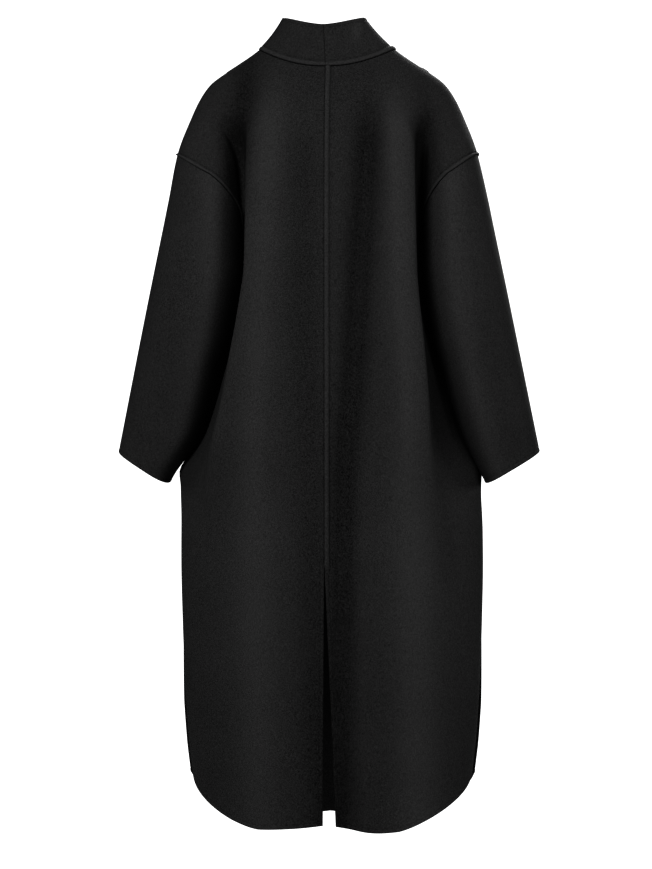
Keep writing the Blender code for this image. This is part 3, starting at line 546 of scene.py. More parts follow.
# Heights of the panel rows at the centre, the fold edge and the seam, by place from neck to hem
Row = namedtuple("Row", "place centre_z fold_z end_z")
ROWS = [Row(i, NECK_ROW_CENTRE_END * i / SHOULDER_ROWS, ARMHOLE[0].fold_z * i / SHOULDER_ROWS,
            ARMHOLE[0].z * i / SHOULDER_ROWS) for i in range(SHOULDER_ROWS)]
ROWS += [Row(SHOULDER_ROWS + seam.place,
             seam.fold_z + ROW_LAG * float(ease(UNDERARM_Z, ARMHOLE[0].fold_z, seam.fold_z)),
             seam.fold_z, seam.z) for seam in ARMHOLE]
ROWS += [Row(UNDERARM_PLACE + i, *(UNDERARM_Z + (HEM_LOW - UNDERARM_Z) * i / SIDE_ROWS,) * 3)
         for i in range(1, SIDE_ROWS + 1)]
row_centre = curve(ROWS, "place", "centre_z")
row_fold = curve(ROWS, "place", "fold_z")
row_end = curve(ROWS, "place", "end_z")
HEM_ROW_LENGTH = (UNDERARM_Z - HEM_LOW) / SIDE_ROWS
PLACES = np.concatenate([
    [0.0], SHORT_STEPS / NECK_ROW_LENGTH, np.linspace(NECK_FIRST_PLACE, SHOULDER_ROWS, NECK_PLACES),
    np.linspace(SHOULDER_ROWS, UNDERARM_PLACE, SEAM_PLACES)[1:],
    np.linspace(UNDERARM_PLACE, HEM_PLACE - HEM_LAST_PLACE, SIDE_PLACES)[1:],
    HEM_PLACE - EDGE_STEPS[::-1] / HEM_ROW_LENGTH, [HEM_PLACE]])


def left_closer(x, z):
    """How far the left sleeve and its slot stand nearer the middle than the right ones."""
    middle = arm_inner(z)
    from_body = ease(middle - LEFT_CLOSER_REACH, middle, x)
    weight = np.where(x < middle, from_body, ease(outer_x(z), middle, x))
    return LEFT_CLOSER * weight * ease(*LEFT_CLOSER_TOP, z) * ease(*LEFT_CLOSER_LOW, z)


def to_hem(z, share):
    """Rows near the bottom close up so that the last one follows the curved hem."""
    outward = np.clip((share - HEM_FLAT_PART) / (1.0 - HEM_FLAT_PART), 0.0, 1.0)
    rise = HEM_SIDE_RISE * outward ** HEM_RISE_POWER
    hem = HEM_LOW + rise + HEM_CENTRE_RISE * np.clip(1.0 - share / HEM_FLAT_PART, 0.0, 1.0) ** 2
    drawn = HEM_START + (z - HEM_START) * (hem - HEM_START) / (HEM_LOW - HEM_START)
    return np.where(z >= HEM_START, z, drawn)


def crease_rise(x, z, half):
    total = np.zeros_like(x)
    for crease in CREASES[half]:
        run = crease.z_top - crease.z_low
        t = (crease.z_top - z) / run
        fade = ease(0.0, CREASE_FADE / run, t) * ease(1.0, 1.0 - CREASE_FADE / run, t)
        middle = crease.x_top + (crease.x_low - crease.x_top) * t
        total += crease.rise * fade * bump_line(x - middle, crease.half_width)
    return total


def under_shift(x):
    """How far the left front and collar lie inside the right ones that lap over them."""
    return (WALL + LAYER_GAP) * ease(UNDER_START, UNDER_FULL, x)


def row_points(place, side, half, sheets, below):
    """One row of a panel from centre edge to seam, with its shares across and down the side."""
    centre_z, fold_z, end_z = float(row_centre(place)), float(row_fold(place)), float(row_end(place))
    heights, centre_sheet, side_sheet = sheets
    width = float(fold_x[side](centre_z))
    edge = EDGE_STEPS / width
    if half > 0:
        edge = np.concatenate([[-OVERLAP], EDGE_STEPS - OVERLAP, LAP_COLUMNS * OVERLAP]) / width
    across = np.concatenate([edge, np.linspace(edge[-1], 1.0, CENTRE_COLUMNS + 1)[1:]])
    angle = float(seam_angle(place - SHOULDER_ROWS))
    on_armhole = SHOULDER_ROWS <= place <= UNDERARM_PLACE and not below
    reach = seam_reach(side, half, angle, end_z) if on_armhole else 1.0
    nearest = side_sheet[np.argmin(np.abs(heights - end_z))]
    seam_length = lengths(nearest)[-1] * reach
    edge = 1.0 - EDGE_STEPS[::-1] / seam_length
    down = np.concatenate([np.linspace(0.0, edge[0], SIDE_COLUMNS + 1)[1:], edge[1:]])
    z = centre_z + (fold_z - centre_z) * np.abs(across)
    side_z = fold_z + (end_z - fold_z) * down ** ROW_TILT_POWER
    if below:
        z = to_hem(z, np.abs(across) * HEM_FOLD_SHARE)
        side_z = to_hem(side_z, HEM_FOLD_SHARE + down * (1.0 - HEM_FOLD_SHARE))
    middle = look_up(heights, centre_sheet, z, np.abs(across))
    middle[:, 0] = np.where(across < 0.0, across * width, middle[:, 0])
    flank = look_up(heights, side_sheet, side_z, down * reach)
    if on_armhole:
        found = look_up(heights, side_sheet, np.array([end_z]), np.array([reach]))[0]
        near = ease(1.0 - SEAM_REACH_BACK / seam_length, 1.0, down)[:, None]
        flank = flank + (arm_point(angle, end_z, half) - found) * near
    points = np.concatenate([np.column_stack([middle, z]), np.column_stack([flank, side_z])])
    all_across = np.concatenate([across, np.ones_like(down)])
    return points, all_across, np.concatenate([np.zeros_like(across), down])


def panel_grid(side, half):
    """Outer points of one panel, rows from neck to hem, columns from the centre edge to the seam."""
    upper = section_map(upper_section, side, half, 0.0, UNDERARM_Z - 2 * MAP_STEP)
    lower = section_map(lower_section, side, half, UNDERARM_Z, HEM_LOW - MAP_STEP)
    above_join = row_points(UNDERARM_PLACE, side, half, upper, False)[0]
    below_join = row_points(UNDERARM_PLACE, side, half, lower, True)[0]
    rows = []
    for place in PLACES:
        below = place > UNDERARM_PLACE
        points, across, down = row_points(place, side, half, lower if below else upper, below)
        if below:
            left_over = 1.0 - float(ease(0.0, JOIN_PLACES, place - UNDERARM_PLACE))
            points = points + (above_join - below_join) * left_over
        rows.append((points, across, down))
    grid = np.array([row[0] for row in rows])
    across = np.array([row[1] for row in rows])
    down = np.array([row[2] for row in rows])
    x, y, z = grid[..., 0].copy(), grid[..., 1], grid[..., 2].copy()
    below = (PLACES > UNDERARM_PLACE)[:, None]
    fade = np.where(below, 0.0, np.maximum(0.0, 1.0 - z / NECK_FADE[half]))
    spread = np.minimum(1.0, np.abs(x) / outer_x(z))
    grid[..., 2] -= NECK_DROP[half] * fade * (1.0 - spread ** NECK_CURVE_POWER)
    y += half * crease_rise(side * x, z, half)
    if half < 0:
        opening = np.maximum(0.0, VENT_TOP - z) / (VENT_TOP - HEM_LOW)
        widest = VENT_OPEN_RIGHT if side > 0 else VENT_OPEN_LEFT
        grid[..., 0] += widest * opening * (1.0 - across)
    elif side < 0:
        y -= under_shift(-x)
    near = down ** SLIT_EDGE_POWER * np.clip((SLIT_TOP - z) / SLIT_FADE, 0.0, 1.0)
    y += half * SLIT_OPEN / 2.0 * near
    if half > 0:
        grid[..., 0] += SLIT_FLARE * near
    # The skirt leans to the right, and its right back hangs a little lower
    lean = SKIRT_LEAN * ease(LEAN_START[0], LEAN_START[1], z)
    lean = lean + LEAN_MORE * np.clip((LEAN_START[1] - z) / LEAN_MORE_RUN, 0.0, 1.0)
    grid[..., 0] += side * (np.abs(x) / side_x(HEM_START)) * lean
    if half < 0 and side > 0:
        grid[..., 2] -= HEM_SAG * ease(HEM_START, HEM_LOW, z) * bump_line(x - HEM_SAG_X, HEM_SAG_WIDTH)
    if side < 0:
        grid[..., 0] -= left_closer(x, z)
    if half < 0:
        grid[z[:, 0] > VENT_TOP, 0, 0] = 0.0
    grid[..., 0] *= side
    return grid


def grid_normals(grid, sign, before=None, after=None):
    """Outward normals of a grid; neighbours across a seam keep both sides alike."""
    first = grid[:, :1] if before is None else before[:, None]
    last = grid[:, -1:] if after is None else after[:, None]
    wide = np.concatenate([first, grid, last], axis=1)
    along = wide[:, 2:] - wide[:, :-2]
    tall = np.concatenate([grid[:1], grid, grid[-1:]], axis=0)
    return sign * unit(np.cross(along, tall[2:] - tall[:-2]))


def edge_distances(grid):
    """Distance of each point from the first and last column and from the first and last row."""
    across = np.linalg.norm(np.diff(grid, axis=1), axis=2)
    down = np.linalg.norm(np.diff(grid, axis=0), axis=2)
    left = np.concatenate([np.zeros((len(grid), 1)), np.cumsum(across, axis=1)], axis=1)
    top = np.concatenate([np.zeros((1, grid.shape[1])), np.cumsum(down, axis=0)], axis=0)
    return left, left[:, -1:] - left, top, top[-1:] - top


def armhole_normals(places, half, side):
    """Normals shared by body and sleeve along the armhole seam."""
    angle, z = seam_angle(places), seam_z(places)
    along = unit(arm_point(angle + 1.0, z, half) - arm_point(angle - 1.0, z, half))
    flat = np.stack([along[:, 1], -along[:, 0]], axis=-1)
    middle = np.stack([0.5 * (outer_x(z) + arm_inner(z)), arm_centre_y(z)], axis=-1)
    inward = ((flat * (arm_point(angle, z, half) - middle)).sum(axis=1) < 0.0)[:, None]
    flat = np.where(inward, -flat, flat)
    turn = ease(SEAM_TURN[0], SEAM_TURN[1], angle)
    lift = SEAM_LIFT * (1.0 - ease(SEAM_LIFT_FADE[0], SEAM_LIFT_FADE[1], angle))
    n = np.stack([flat[:, 0] * (1.0 - turn), flat[:, 1] * (1.0 - turn), lift - turn], axis=-1)
    return unit(n) * np.array([side, 1.0, 1.0])


def welt(distance):
    """Raised seam allowance: a crowned band with a soft step and a faint crease at its foot."""
    crown = 1.0 + WELT_CROWN * np.sin(math.pi * np.clip(distance / WELT_WIDTH, 0.0, 1.0))
    flank = 1.0 - ease(WELT_WIDTH, WELT_WIDTH + WELT_STEP, distance)
    foot = bump_line(distance - WELT_FOOT_OUT, WELT_FOOT_WIDTH)
    return WELT_RISE * (flank * crown - WELT_FOOT * foot)


def turned_edge(distance):
    """Edge turned in and felled: slightly swollen, with a shallow line where the turning ends."""
    swell = EDGE_SWELL * np.sin(math.pi * np.clip(distance / EDGE_LINE, 0.0, 1.0))
    return swell - EDGE_LINE_DEPTH * bump_line(distance - EDGE_LINE, EDGE_LINE_WIDTH)


def edge_round(distance):
    """How far both skins draw together at an edge."""
    left = np.clip(1.0 - distance / EDGE_ROUND, 0.0, 1.0)
    return EDGE_ROUND * (1.0 - np.sqrt(1.0 - left ** 2))


def deselect():
    bpy.ops.object.select_all(action="DESELECT")


def mode(name):
    bpy.ops.object.mode_set(mode=name)


def apply_modifier(piece, kind, **settings):
    """Add a modifier to the active piece, set it and apply it."""
    modifier = piece.modifiers.new(kind, kind)
    for key, value in settings.items():
        setattr(modifier, key, value)
    bpy.ops.object.modifier_apply(modifier=modifier.name)


def smooth(degrees):
    bpy.ops.object.shade_smooth_by_angle(angle=math.radians(degrees))


def cloth_piece(name, grid, normals, sign, rise, painted_light_and_nap_bump=0.0):
    """Thin wall of cloth: the cut panel as a grid, given thickness, with both skins in place."""
    rounding = np.maximum.reduce([edge_round(d) for d in edge_distances(grid)])[..., None]
    outer = grid + normals * (rise[..., None] - rounding)
    inner = grid - normals * (WALL - rounding)
    if sign < 0:
        outer, inner = outer[:, ::-1], inner[:, ::-1]
    rows, columns = outer.shape[:2]
    deselect()
    bpy.ops.mesh.primitive_grid_add(x_subdivisions=columns - 1, y_subdivisions=rows - 1, size=1.0)
    piece = bpy.context.object
    piece.name = name
    piece.data.name = name
    piece.data.vertices.foreach_set("co", outer.reshape(-1))
    apply_modifier(piece, "SOLIDIFY", thickness=WALL, offset=-1.0)
    piece.data.vertices.foreach_set("co", np.concatenate([outer.reshape(-1), inner.reshape(-1)]))
    piece.data.update()
    # Painted highlight where the outer skin is raised, painted shade where it dips and along the
    # rounded edges
    painted_light = painted_light_and_nap_bump + WELT_PAINTED_LIGHT * rise / WELT_RISE - EDGE_PAINTED_SHADE * rounding[..., 0] / EDGE_ROUND
    painted_light = (painted_light[:, ::-1] if sign < 0 else painted_light).reshape(-1)
    layer = piece.data.attributes.new(PAINTED_LIGHT_LAYER, "FLOAT", "POINT")
    layer.data.foreach_set("value", np.concatenate([painted_light, painted_light]))
    smooth(SMOOTH_CLOTH)
    return piece


def cut_size(grid):
    """Width, length and area of the flat cut, with the seam allowance all round."""
    left, _, top, _ = edge_distances(grid)
    width = left[:, -1].max() + 2 * SEAM_ALLOWANCE
    length = top[-1].max() + 2 * SEAM_ALLOWANCE
    a, b = grid[1:, 1:] - grid[:-1, :-1], grid[1:, :-1] - grid[:-1, 1:]
    area = 0.5 * np.linalg.norm(np.cross(a, b), axis=2).sum()
    edge = left[0, -1] + left[-1, -1] + top[-1, 0] + top[-1, -1]
    area += edge * SEAM_ALLOWANCE
    return round(float(width), 3), round(float(length), 3), round(float(area), 4)


def body_panels(grids):
    """Back and front panels, with the welts and turned edges on their outer skins only."""
    arm_rows = (PLACES >= SHOULDER_ROWS) & (PLACES <= UNDERARM_PLACE)
    shoulder_rows = PLACES <= SHOULDER_ROWS
    pieces = {}
    for (side, half), grid in grids.items():
        before = grids[(-side, half)][:, 0] if half < 0 else None
        normals = grid_normals(grid, side * half, before, grids[(side, -half)][:, -1])
        left, right, _, low = edge_distances(grid)
        places = PLACES[arm_rows] - SHOULDER_ROWS
        near = ease(SEAM_REACH_BACK, 0.0, right[arm_rows])[..., None]
        seam = armhole_normals(places, half, side)[:, None]
        normals[arm_rows] = unit(normals[arm_rows] * (1.0 - near) + seam * near)
        if half < 0:
            closed = grid[:, 0, 2] > VENT_TOP
            normals[closed, 0] = unit(normals[closed, 0] * np.array([0.0, 1.0, 1.0]))
        normals[shoulder_rows, -1] = unit(normals[shoulder_rows, -1] * np.array([1.0, 0.0, 1.0]))
        z = grid[..., 2]
        rise = turned_edge(low)
        welt_end = 1.0 - ease(WELT_END_ANGLES[0], WELT_END_ANGLES[1], seam_angle(places))
        rise[arm_rows] += welt(right[arm_rows]) * welt_end[:, None]
        rise += turned_edge(right) * ease(SLIT_TOP, SLIT_TOP - SLIT_FADE, z)
        if half > 0:
            rise += turned_edge(left)
        else:
            open_vent = ease(VENT_TOP, VENT_TOP - VENT_FADE, z)
            rise += turned_edge(left) * open_vent
            if side > 0:
                rise += welt(left) * (1.0 - open_vent)
        node = ("back_" if half < 0 else "front_") + SIDE_NAMES[side]
        # Painted shade over the yoke and toward the hem, on the body's tone shift
        painted_light_and_nap_bump = BODY_TONE_SHIFT + YOKE_PAINTED_SHADE * ease(*YOKE_PAINTED_SHADE_Z, z) + SKIRT_PAINTED_SHADE * ease(*SKIRT_PAINTED_SHADE_Z, z)
        # Painted highlight on crease ridges and painted shade in crease troughs
        painted_light_and_nap_bump = painted_light_and_nap_bump + np.clip(crease_rise(grid[..., 0], z, half) / PAINTED_LIGHT_FULL_DEPTH, -1.0, 1.0)
        piece = cloth_piece("cloth_" + node, grid, normals, side * half, rise, painted_light_and_nap_bump)
        pieces[node] = piece, cut_size(grid)
    return pieces


def sleeve_ridge(side, angle, z):
    """Soft ridge that runs down the middle of the sleeve's back and front."""
    middle = SLEEVE_RIDGE_START[side] - SLEEVE_RIDGE_TURN * z
    return bump_line(angle - middle, SLEEVE_RIDGE_WIDTH)


def sleeve_grid(side):
    """Sleeve from the armhole seam to the cuff, its own seam along the underarm."""
    last = float(ARMHOLE[-1].place)
    places = np.concatenate([last - SHORT_STEPS / UNDERARM_RUN,
                             np.linspace(last - SLEEVE_FIRST_PLACE, 0.0, SLEEVE_COLUMNS)])
    places = np.concatenate([places, places[-2::-1]])
    half = np.where(np.arange(len(places)) < len(places) / 2, -1, 1)
    angle, top = seam_angle(places), seam_z(places)
    a = np.radians(angle)
    dip = CUFF_BACK_DIP * np.sin(a) * -half
    low = CUFF_Z + CUFF_SLOPE * CUFF_HALF * power_of(np.cos(a), 2.0 / ARM_POWER) - dip
    run = top - low
    tops = EDGE_STEPS[:, None] / run + SEAM_GAP / 2.0 / run
    lows = 1.0 - EDGE_STEPS[::-1, None] / run
    between = np.linspace(0.0, 1.0, SLEEVE_ROWS)[1:-1, None]
    middles = tops[-1] + (lows[0] - tops[-1]) * between
    shares = np.concatenate([tops, middles, lows, np.ones((1, len(run)))])
    z = top - run * shares
    xy = arm_point(angle[None, :], z, half[None, :])
    # The right sleeve is a little wider, so no light comes through the slot beside it
    share = (xy[..., 0] - arm_inner(z)) / (outer_x(z) - arm_inner(z))
    fade_run = RIGHT_WIDER_FADE[0] + (RIGHT_WIDER_FADE[1] - RIGHT_WIDER_FADE[0]) * share
    wider = RIGHT_WIDER * (2.0 * share - 1.0) * ease(0.0, fade_run, top - z)
    x = xy[..., 0] + (wider if side > 0 else -left_closer(xy[..., 0], z))
    fade = ease(0.0, SLEEVE_RIDGE_FADE, top - z) * ease(0.0, SLEEVE_RIDGE_FADE, z - low)
    y = xy[..., 1] + half * SLEEVE_RIDGE_RISE * fade * sleeve_ridge(side, angle, z)
    return np.stack([side * x, y, z], axis=-1), places, half


def sleeves():
    pieces = {}
    for side in (-1, 1):
        grid, places, half = sleeve_grid(side)
        normals = grid_normals(grid, -side, before=grid[:, -1], after=grid[:, 0])
        _, _, top, low = edge_distances(grid)
        seams = {h: armhole_normals(places, h, side) for h in (-1, 1)}
        seam = np.where((half < 0)[:, None], seams[-1], seams[1])[None]
        near = ease(SEAM_REACH_BACK, 0.0, top)[..., None]
        normals = unit(normals * (1.0 - near) + seam * near)
        node = "sleeve_" + SIDE_NAMES[side]
        # Painted highlight along the sleeve ridge, on the sleeve's tone shift
        painted_light_and_nap_bump = SLEEVE_TONE_SHIFT + SLEEVE_RIDGE_PAINTED_HIGHLIGHT * sleeve_ridge(side, seam_angle(places), grid[..., 2])
        piece = cloth_piece("cloth_" + node, grid, normals, -side, turned_edge(low), painted_light_and_nap_bump)
        pieces[node] = piece, cut_size(grid)
    return pieces


def collar_dent(points):
    """Small dent near the top of the collar, right of the centre back."""
    across = bump_line(points[..., 0] - DENT_X, DENT_WIDTH)
    return across * bump_line(points[..., 2] - DENT_Z, DENT_HEIGHT) * (points[..., 1] < 0.0)


def collar_grid(side, grids):
    """Standing collar on the neck row of the panels, from the centre back to the front edge."""
    base = np.concatenate([grids[(side, -1)][0], grids[(side, 1)][0][::-1]])
    between = np.linspace(COLLAR_FIRST_ROW, COLLAR_STAND - COLLAR_FIRST_ROW, COLLAR_ROWS)
    levels = np.concatenate([EDGE_STEPS + SEAM_GAP / 2.0, between,
                             COLLAR_STAND - EDGE_STEPS[::-1], [COLLAR_STAND]]) / COLLAR_STAND
    x, y = base[:, 0], base[:, 1]
    t = np.minimum(1.0, np.abs(x) / NECK_SIDE_X)
    shift = under_shift(x) if side < 0 else np.zeros_like(x)
    back = y < 0.0
    top_y = np.where(back, y * COLLAR_TOP_BACK / centre_y[-1](0.0),
                     (y + shift) * COLLAR_TOP_FRONT / centre_y[1](0.0) - shift)
    top_z = np.where(back, COLLAR_Z_BACK + (COLLAR_Z_SIDE - COLLAR_Z_BACK) * t ** COLLAR_BACK_POWER,
                     COLLAR_Z_SIDE + (COLLAR_Z_FRONT - COLLAR_Z_SIDE) * (1.0 - t ** COLLAR_FRONT_POWER))
    top = np.stack([x * COLLAR_TOP_X / NECK_SIDE_X, top_y, top_z], axis=-1)
    line = base + (top - base) * levels[:, None, None]
    line[..., 0] -= COLLAR_LEAN * levels[:, None]
    line[..., 1] += COLLAR_DENT * collar_dent(line)
    axis = unit(line * np.array([1.0, 1.0, 0.0]))
    return line - axis * COLLAR_SAG * np.sin(math.pi * levels)[:, None, None]


def collars(grids):
    pair = {side: collar_grid(side, grids) for side in (-1, 1)}
    pieces = {}
    for side, grid in pair.items():
        normals = grid_normals(grid, side, before=pair[-side][:, 0])
        normals[:, 0] = unit(normals[:, 0] * np.array([0.0, 1.0, 1.0]))
        _, right, top, low = edge_distances(grid)
        under = np.zeros_like(top)
        if side < 0:
            under = ease(COLLAR_WELT_END[1], COLLAR_WELT_END[0], grid[..., 0]) * (grid[..., 1] > 0.0)
        rise = welt(top) * (1.0 - under) + turned_edge(low) + turned_edge(right)
        node = "collar_" + SIDE_NAMES[side]
        # Painted highlight in the collar dent, on the collar's tone shift
        painted_light_and_nap_bump = COLLAR_TONE_SHIFT + DENT_PAINTED_HIGHLIGHT * collar_dent(grid)
        pieces[node] = cloth_piece("cloth_" + node, grid, normals, side, rise, painted_light_and_nap_bump), cut_size(grid)
    return pieces


def edit_mesh(kind):
    """Leave nothing of the active mesh selected, ready to pick by faces or points."""
    mode("EDIT")
    bpy.ops.mesh.select_mode(type=kind)
    bpy.ops.mesh.select_all(action="DESELECT")
    mode("OBJECT")


def pick_faces(piece, test):
    """Select the faces of a piece, by their place, and go into edit mode."""
    edit_mesh("FACE")
    for polygon in piece.data.polygons:
        polygon.select = test(polygon)
    mode("EDIT")


def join(pieces):
    deselect()
    for piece in pieces:
        piece.select_set(True)
    bpy.context.view_layer.objects.active = pieces[0]
    bpy.ops.object.join()
    return bpy.context.object


def turned_button(horn, thread):
    """Four-hole button with a raised rim, and the thread loops that hold it."""
    deselect()
    bpy.ops.mesh.primitive_cylinder_add(vertices=BUTTON_SIDES, radius=BUTTON_RADIUS, depth=BUTTON_THICK,
                                        location=(0.0, 0.0, BUTTON_THICK / 2.0))
    disc = bpy.context.object
    bpy.ops.object.transform_apply(location=True, rotation=True, scale=True)
    pick_faces(disc, lambda face: face.center.z > BUTTON_TOP_SHARE * BUTTON_THICK)
    bpy.ops.mesh.inset(thickness=BUTTON_RIM)
    bpy.ops.mesh.inset(thickness=BUTTON_DISH)
    bpy.ops.transform.translate(value=(0.0, 0.0, -BUTTON_DISH))
    mode("OBJECT")
    pick_faces(disc, lambda face: face.center.z < BUTTON_BACK_SHARE * BUTTON_THICK)
    bpy.ops.mesh.inset(thickness=BUTTON_RADIUS * BUTTON_BACK_INSET)
    mode("OBJECT")
    apply_modifier(disc, "BEVEL", width=BUTTON_EDGE, segments=BUTTON_EDGE_STEPS, limit_method="ANGLE",
                   angle_limit=math.radians(SMOOTH_HARD))
    cutters = []
    for x, y in ((1, 1), (-1, 1), (-1, -1), (1, -1)):
        deselect()
        at = (x * HOLE_STEP, y * HOLE_STEP, BUTTON_THICK / 2.0)
        bpy.ops.mesh.primitive_cylinder_add(vertices=HOLE_SIDES, radius=HOLE_RADIUS, depth=HOLE_CUT,
                                            location=at)
        cutters.append(bpy.context.object)
    cutter = join(cutters)
    deselect()
    bpy.context.view_layer.objects.active = disc
    disc.select_set(True)
    apply_modifier(disc, "BOOLEAN", operation="DIFFERENCE", object=cutter, solver="EXACT")
    bpy.data.objects.remove(cutter, do_unlink=True)
    disc.data.materials.append(horn)
    loops = []
    floor_z = BUTTON_THICK - BUTTON_DISH
    for x in (-1, 1):
        for strand in (-1, 1):
            at = (x * HOLE_STEP + strand * THREAD_RADIUS, 0.0, floor_z / 2.0)
            deselect()
            bpy.ops.mesh.primitive_torus_add(major_radius=HOLE_STEP, minor_radius=THREAD_RADIUS,
                                             major_segments=THREAD_STEPS, minor_segments=ROUND_STEPS,
                                             location=at, rotation=(0.0, math.pi / 2.0, 0.0))
            loop = bpy.context.object
            loop.scale = ((floor_z / 2.0 + THREAD_RADIUS) / (HOLE_STEP + THREAD_RADIUS), 1.0, 1.0)
            bpy.ops.object.transform_apply(location=True, rotation=True, scale=True)
            loop.data.materials.append(thread)
            loops.append(loop)
    button = join([disc] + loops)
    smooth(SMOOTH_HARD)
    return button


def stitched_buttonhole(thread):
    """Worked buttonhole: a bead of thread round a closed slit."""
    deselect()
    bpy.ops.mesh.primitive_torus_add(major_radius=BUTTONHOLE_HALF, minor_radius=BUTTONHOLE_BEAD,
                                     major_segments=BUTTONHOLE_STEPS, minor_segments=ROUND_STEPS)
    bead = bpy.context.object
    edit_mesh("VERT")
    for vertex in bead.data.vertices:
        vertex.select = vertex.co.x > NEARLY_NOUGHT
    mode("EDIT")
    bpy.ops.transform.translate(value=(BUTTONHOLE_LENGTH - 2.0 * BUTTONHOLE_HALF, 0.0, 0.0))
    mode("OBJECT")
    deselect()
    middle = BUTTONHOLE_LENGTH / 2.0 - BUTTONHOLE_HALF
    size = (BUTTONHOLE_LENGTH - BUTTONHOLE_HALF, 2.0 * BUTTONHOLE_HALF, BUTTONHOLE_BEAD)
    bpy.ops.mesh.primitive_cube_add(size=1.0, location=(middle, 0.0, 0.0), scale=size)
    slit = bpy.context.object
    bpy.ops.object.transform_apply(location=True, rotation=True, scale=True)
    hole = join([bead, slit])
    hole.data.materials.append(thread)
    apply_modifier(hole, "SUBSURF", subdivision_type="SIMPLE", levels=BUTTONHOLE_FINER,
                   render_levels=BUTTONHOLE_FINER)
    smooth(SMOOTH_HARD)
    return hole


def placed_copy(source, name, matrix):
    piece = source.copy()
    piece.data = source.data.copy()
    piece.name = name
    piece.data.name = name
    piece.data.transform(matrix)
    bpy.context.scene.collection.objects.link(piece)
    return piece


def front_line(front, z):
    """Outer face across the upper front at one height, as x and y."""
    row = front[np.argmin(np.abs(front[:, len(EDGE_STEPS) + len(LAP_COLUMNS) + 1, 2] - z))]
    order = np.argsort(row[:, 0])
    return row[order, 0], row[order, 1]


def button_seat(front, z):
    """Seat point, outward axis and up axis of a button on the centre line of the upper front."""
    column = int(np.argmin(np.abs(front[len(front) // 2, :, 0])))
    line = front[::-1, column]
    above, below, here = (np.array([0.0, np.interp(h, line[:, 2], line[:, 1]), h])
                          for h in (z + BUTTON_RADIUS, z - BUTTON_RADIUS, z))
    up = unit(above - below)
    out = np.array([0.0, up[2], -up[1]])
    swell = max(float(np.dot(here - 0.5 * (above + below), out)), 0.0)
    return 0.5 * (above + below) + out * swell, out, up


def frame_matrix(across, up, out, at):
    return Matrix([[across[i], up[i], out[i], at[i]] for i in range(3)] + [[0.0, 0.0, 0.0, 1.0]])


def buttons(front, horn, thread):
    button_source, hole_source = turned_button(horn, thread), stitched_buttonhole(thread)
    pieces = {}
    for number, z in enumerate(BUTTON_HEIGHTS, start=1):
        seat, out, up = button_seat(front, z)
        turned = frame_matrix(np.array([-1.0, 0.0, 0.0]), up, out, seat + out * BUTTON_LIFT)
        button = placed_copy(button_source, f"horn_button_{number}", turned)
        start = seat - np.array([BUTTONHOLE_BACK, 0.0, 0.0])
        hole = placed_copy(hole_source, f"buttonhole_{number}",
                           frame_matrix(np.array([1.0, 0.0, 0.0]), -up, out, start))
        x, y = front_line(front, z)
        for vertex in hole.data.vertices:
            vertex.co.y += float(np.interp(vertex.co.x, x, y) - np.interp(0.0, x, y))
        pieces[f"button_{number}"] = button, hole
    for source in (button_source, hole_source):
        bpy.data.objects.remove(source, do_unlink=True)
    return pieces


def linear(colour):
    """Linear colour of an sRGB hex value."""
    parts = [int(colour[i:i + 2], 16) / 255.0 for i in (1, 3, 5)]
    return tuple(p / 12.92 if p <= 0.04045 else ((p + 0.055) / 1.055) ** 2.4 for p in parts) + (1.0,)


def add_node(tree, kind, settings=None, links=None, stops=()):
    """Add a node, set its sockets, properties and colour stops, and link its inputs."""
    node = tree.nodes.new(kind)
    for key, value in (settings or {}).items():
        if key in node.inputs:
            node.inputs[key].default_value = value
        else:
            setattr(node, key, value)
    for key, socket in (links or {}).items():
        tree.links.new(socket, node.inputs[key])
    for i, (position, colour) in enumerate(stops):
        node.color_ramp.elements[i].position = position
        node.color_ramp.elements[i].color = linear(colour)
    return node


def new_material(name):
    material = bpy.data.materials.new(name)
    material.use_nodes = True
    tree = material.node_tree
    shader = tree.nodes["Principled BSDF"]
    coordinates = add_node(tree, "ShaderNodeTexCoord")
    return material, tree, shader, coordinates.outputs["Object"]


def set_inputs(node, values):
    for key, value in values.items():
        node.inputs[key].default_value = value


def per_metre(millimetres):
    """Noise scale whose cells are about this large."""
    return 1000.0 / millimetres


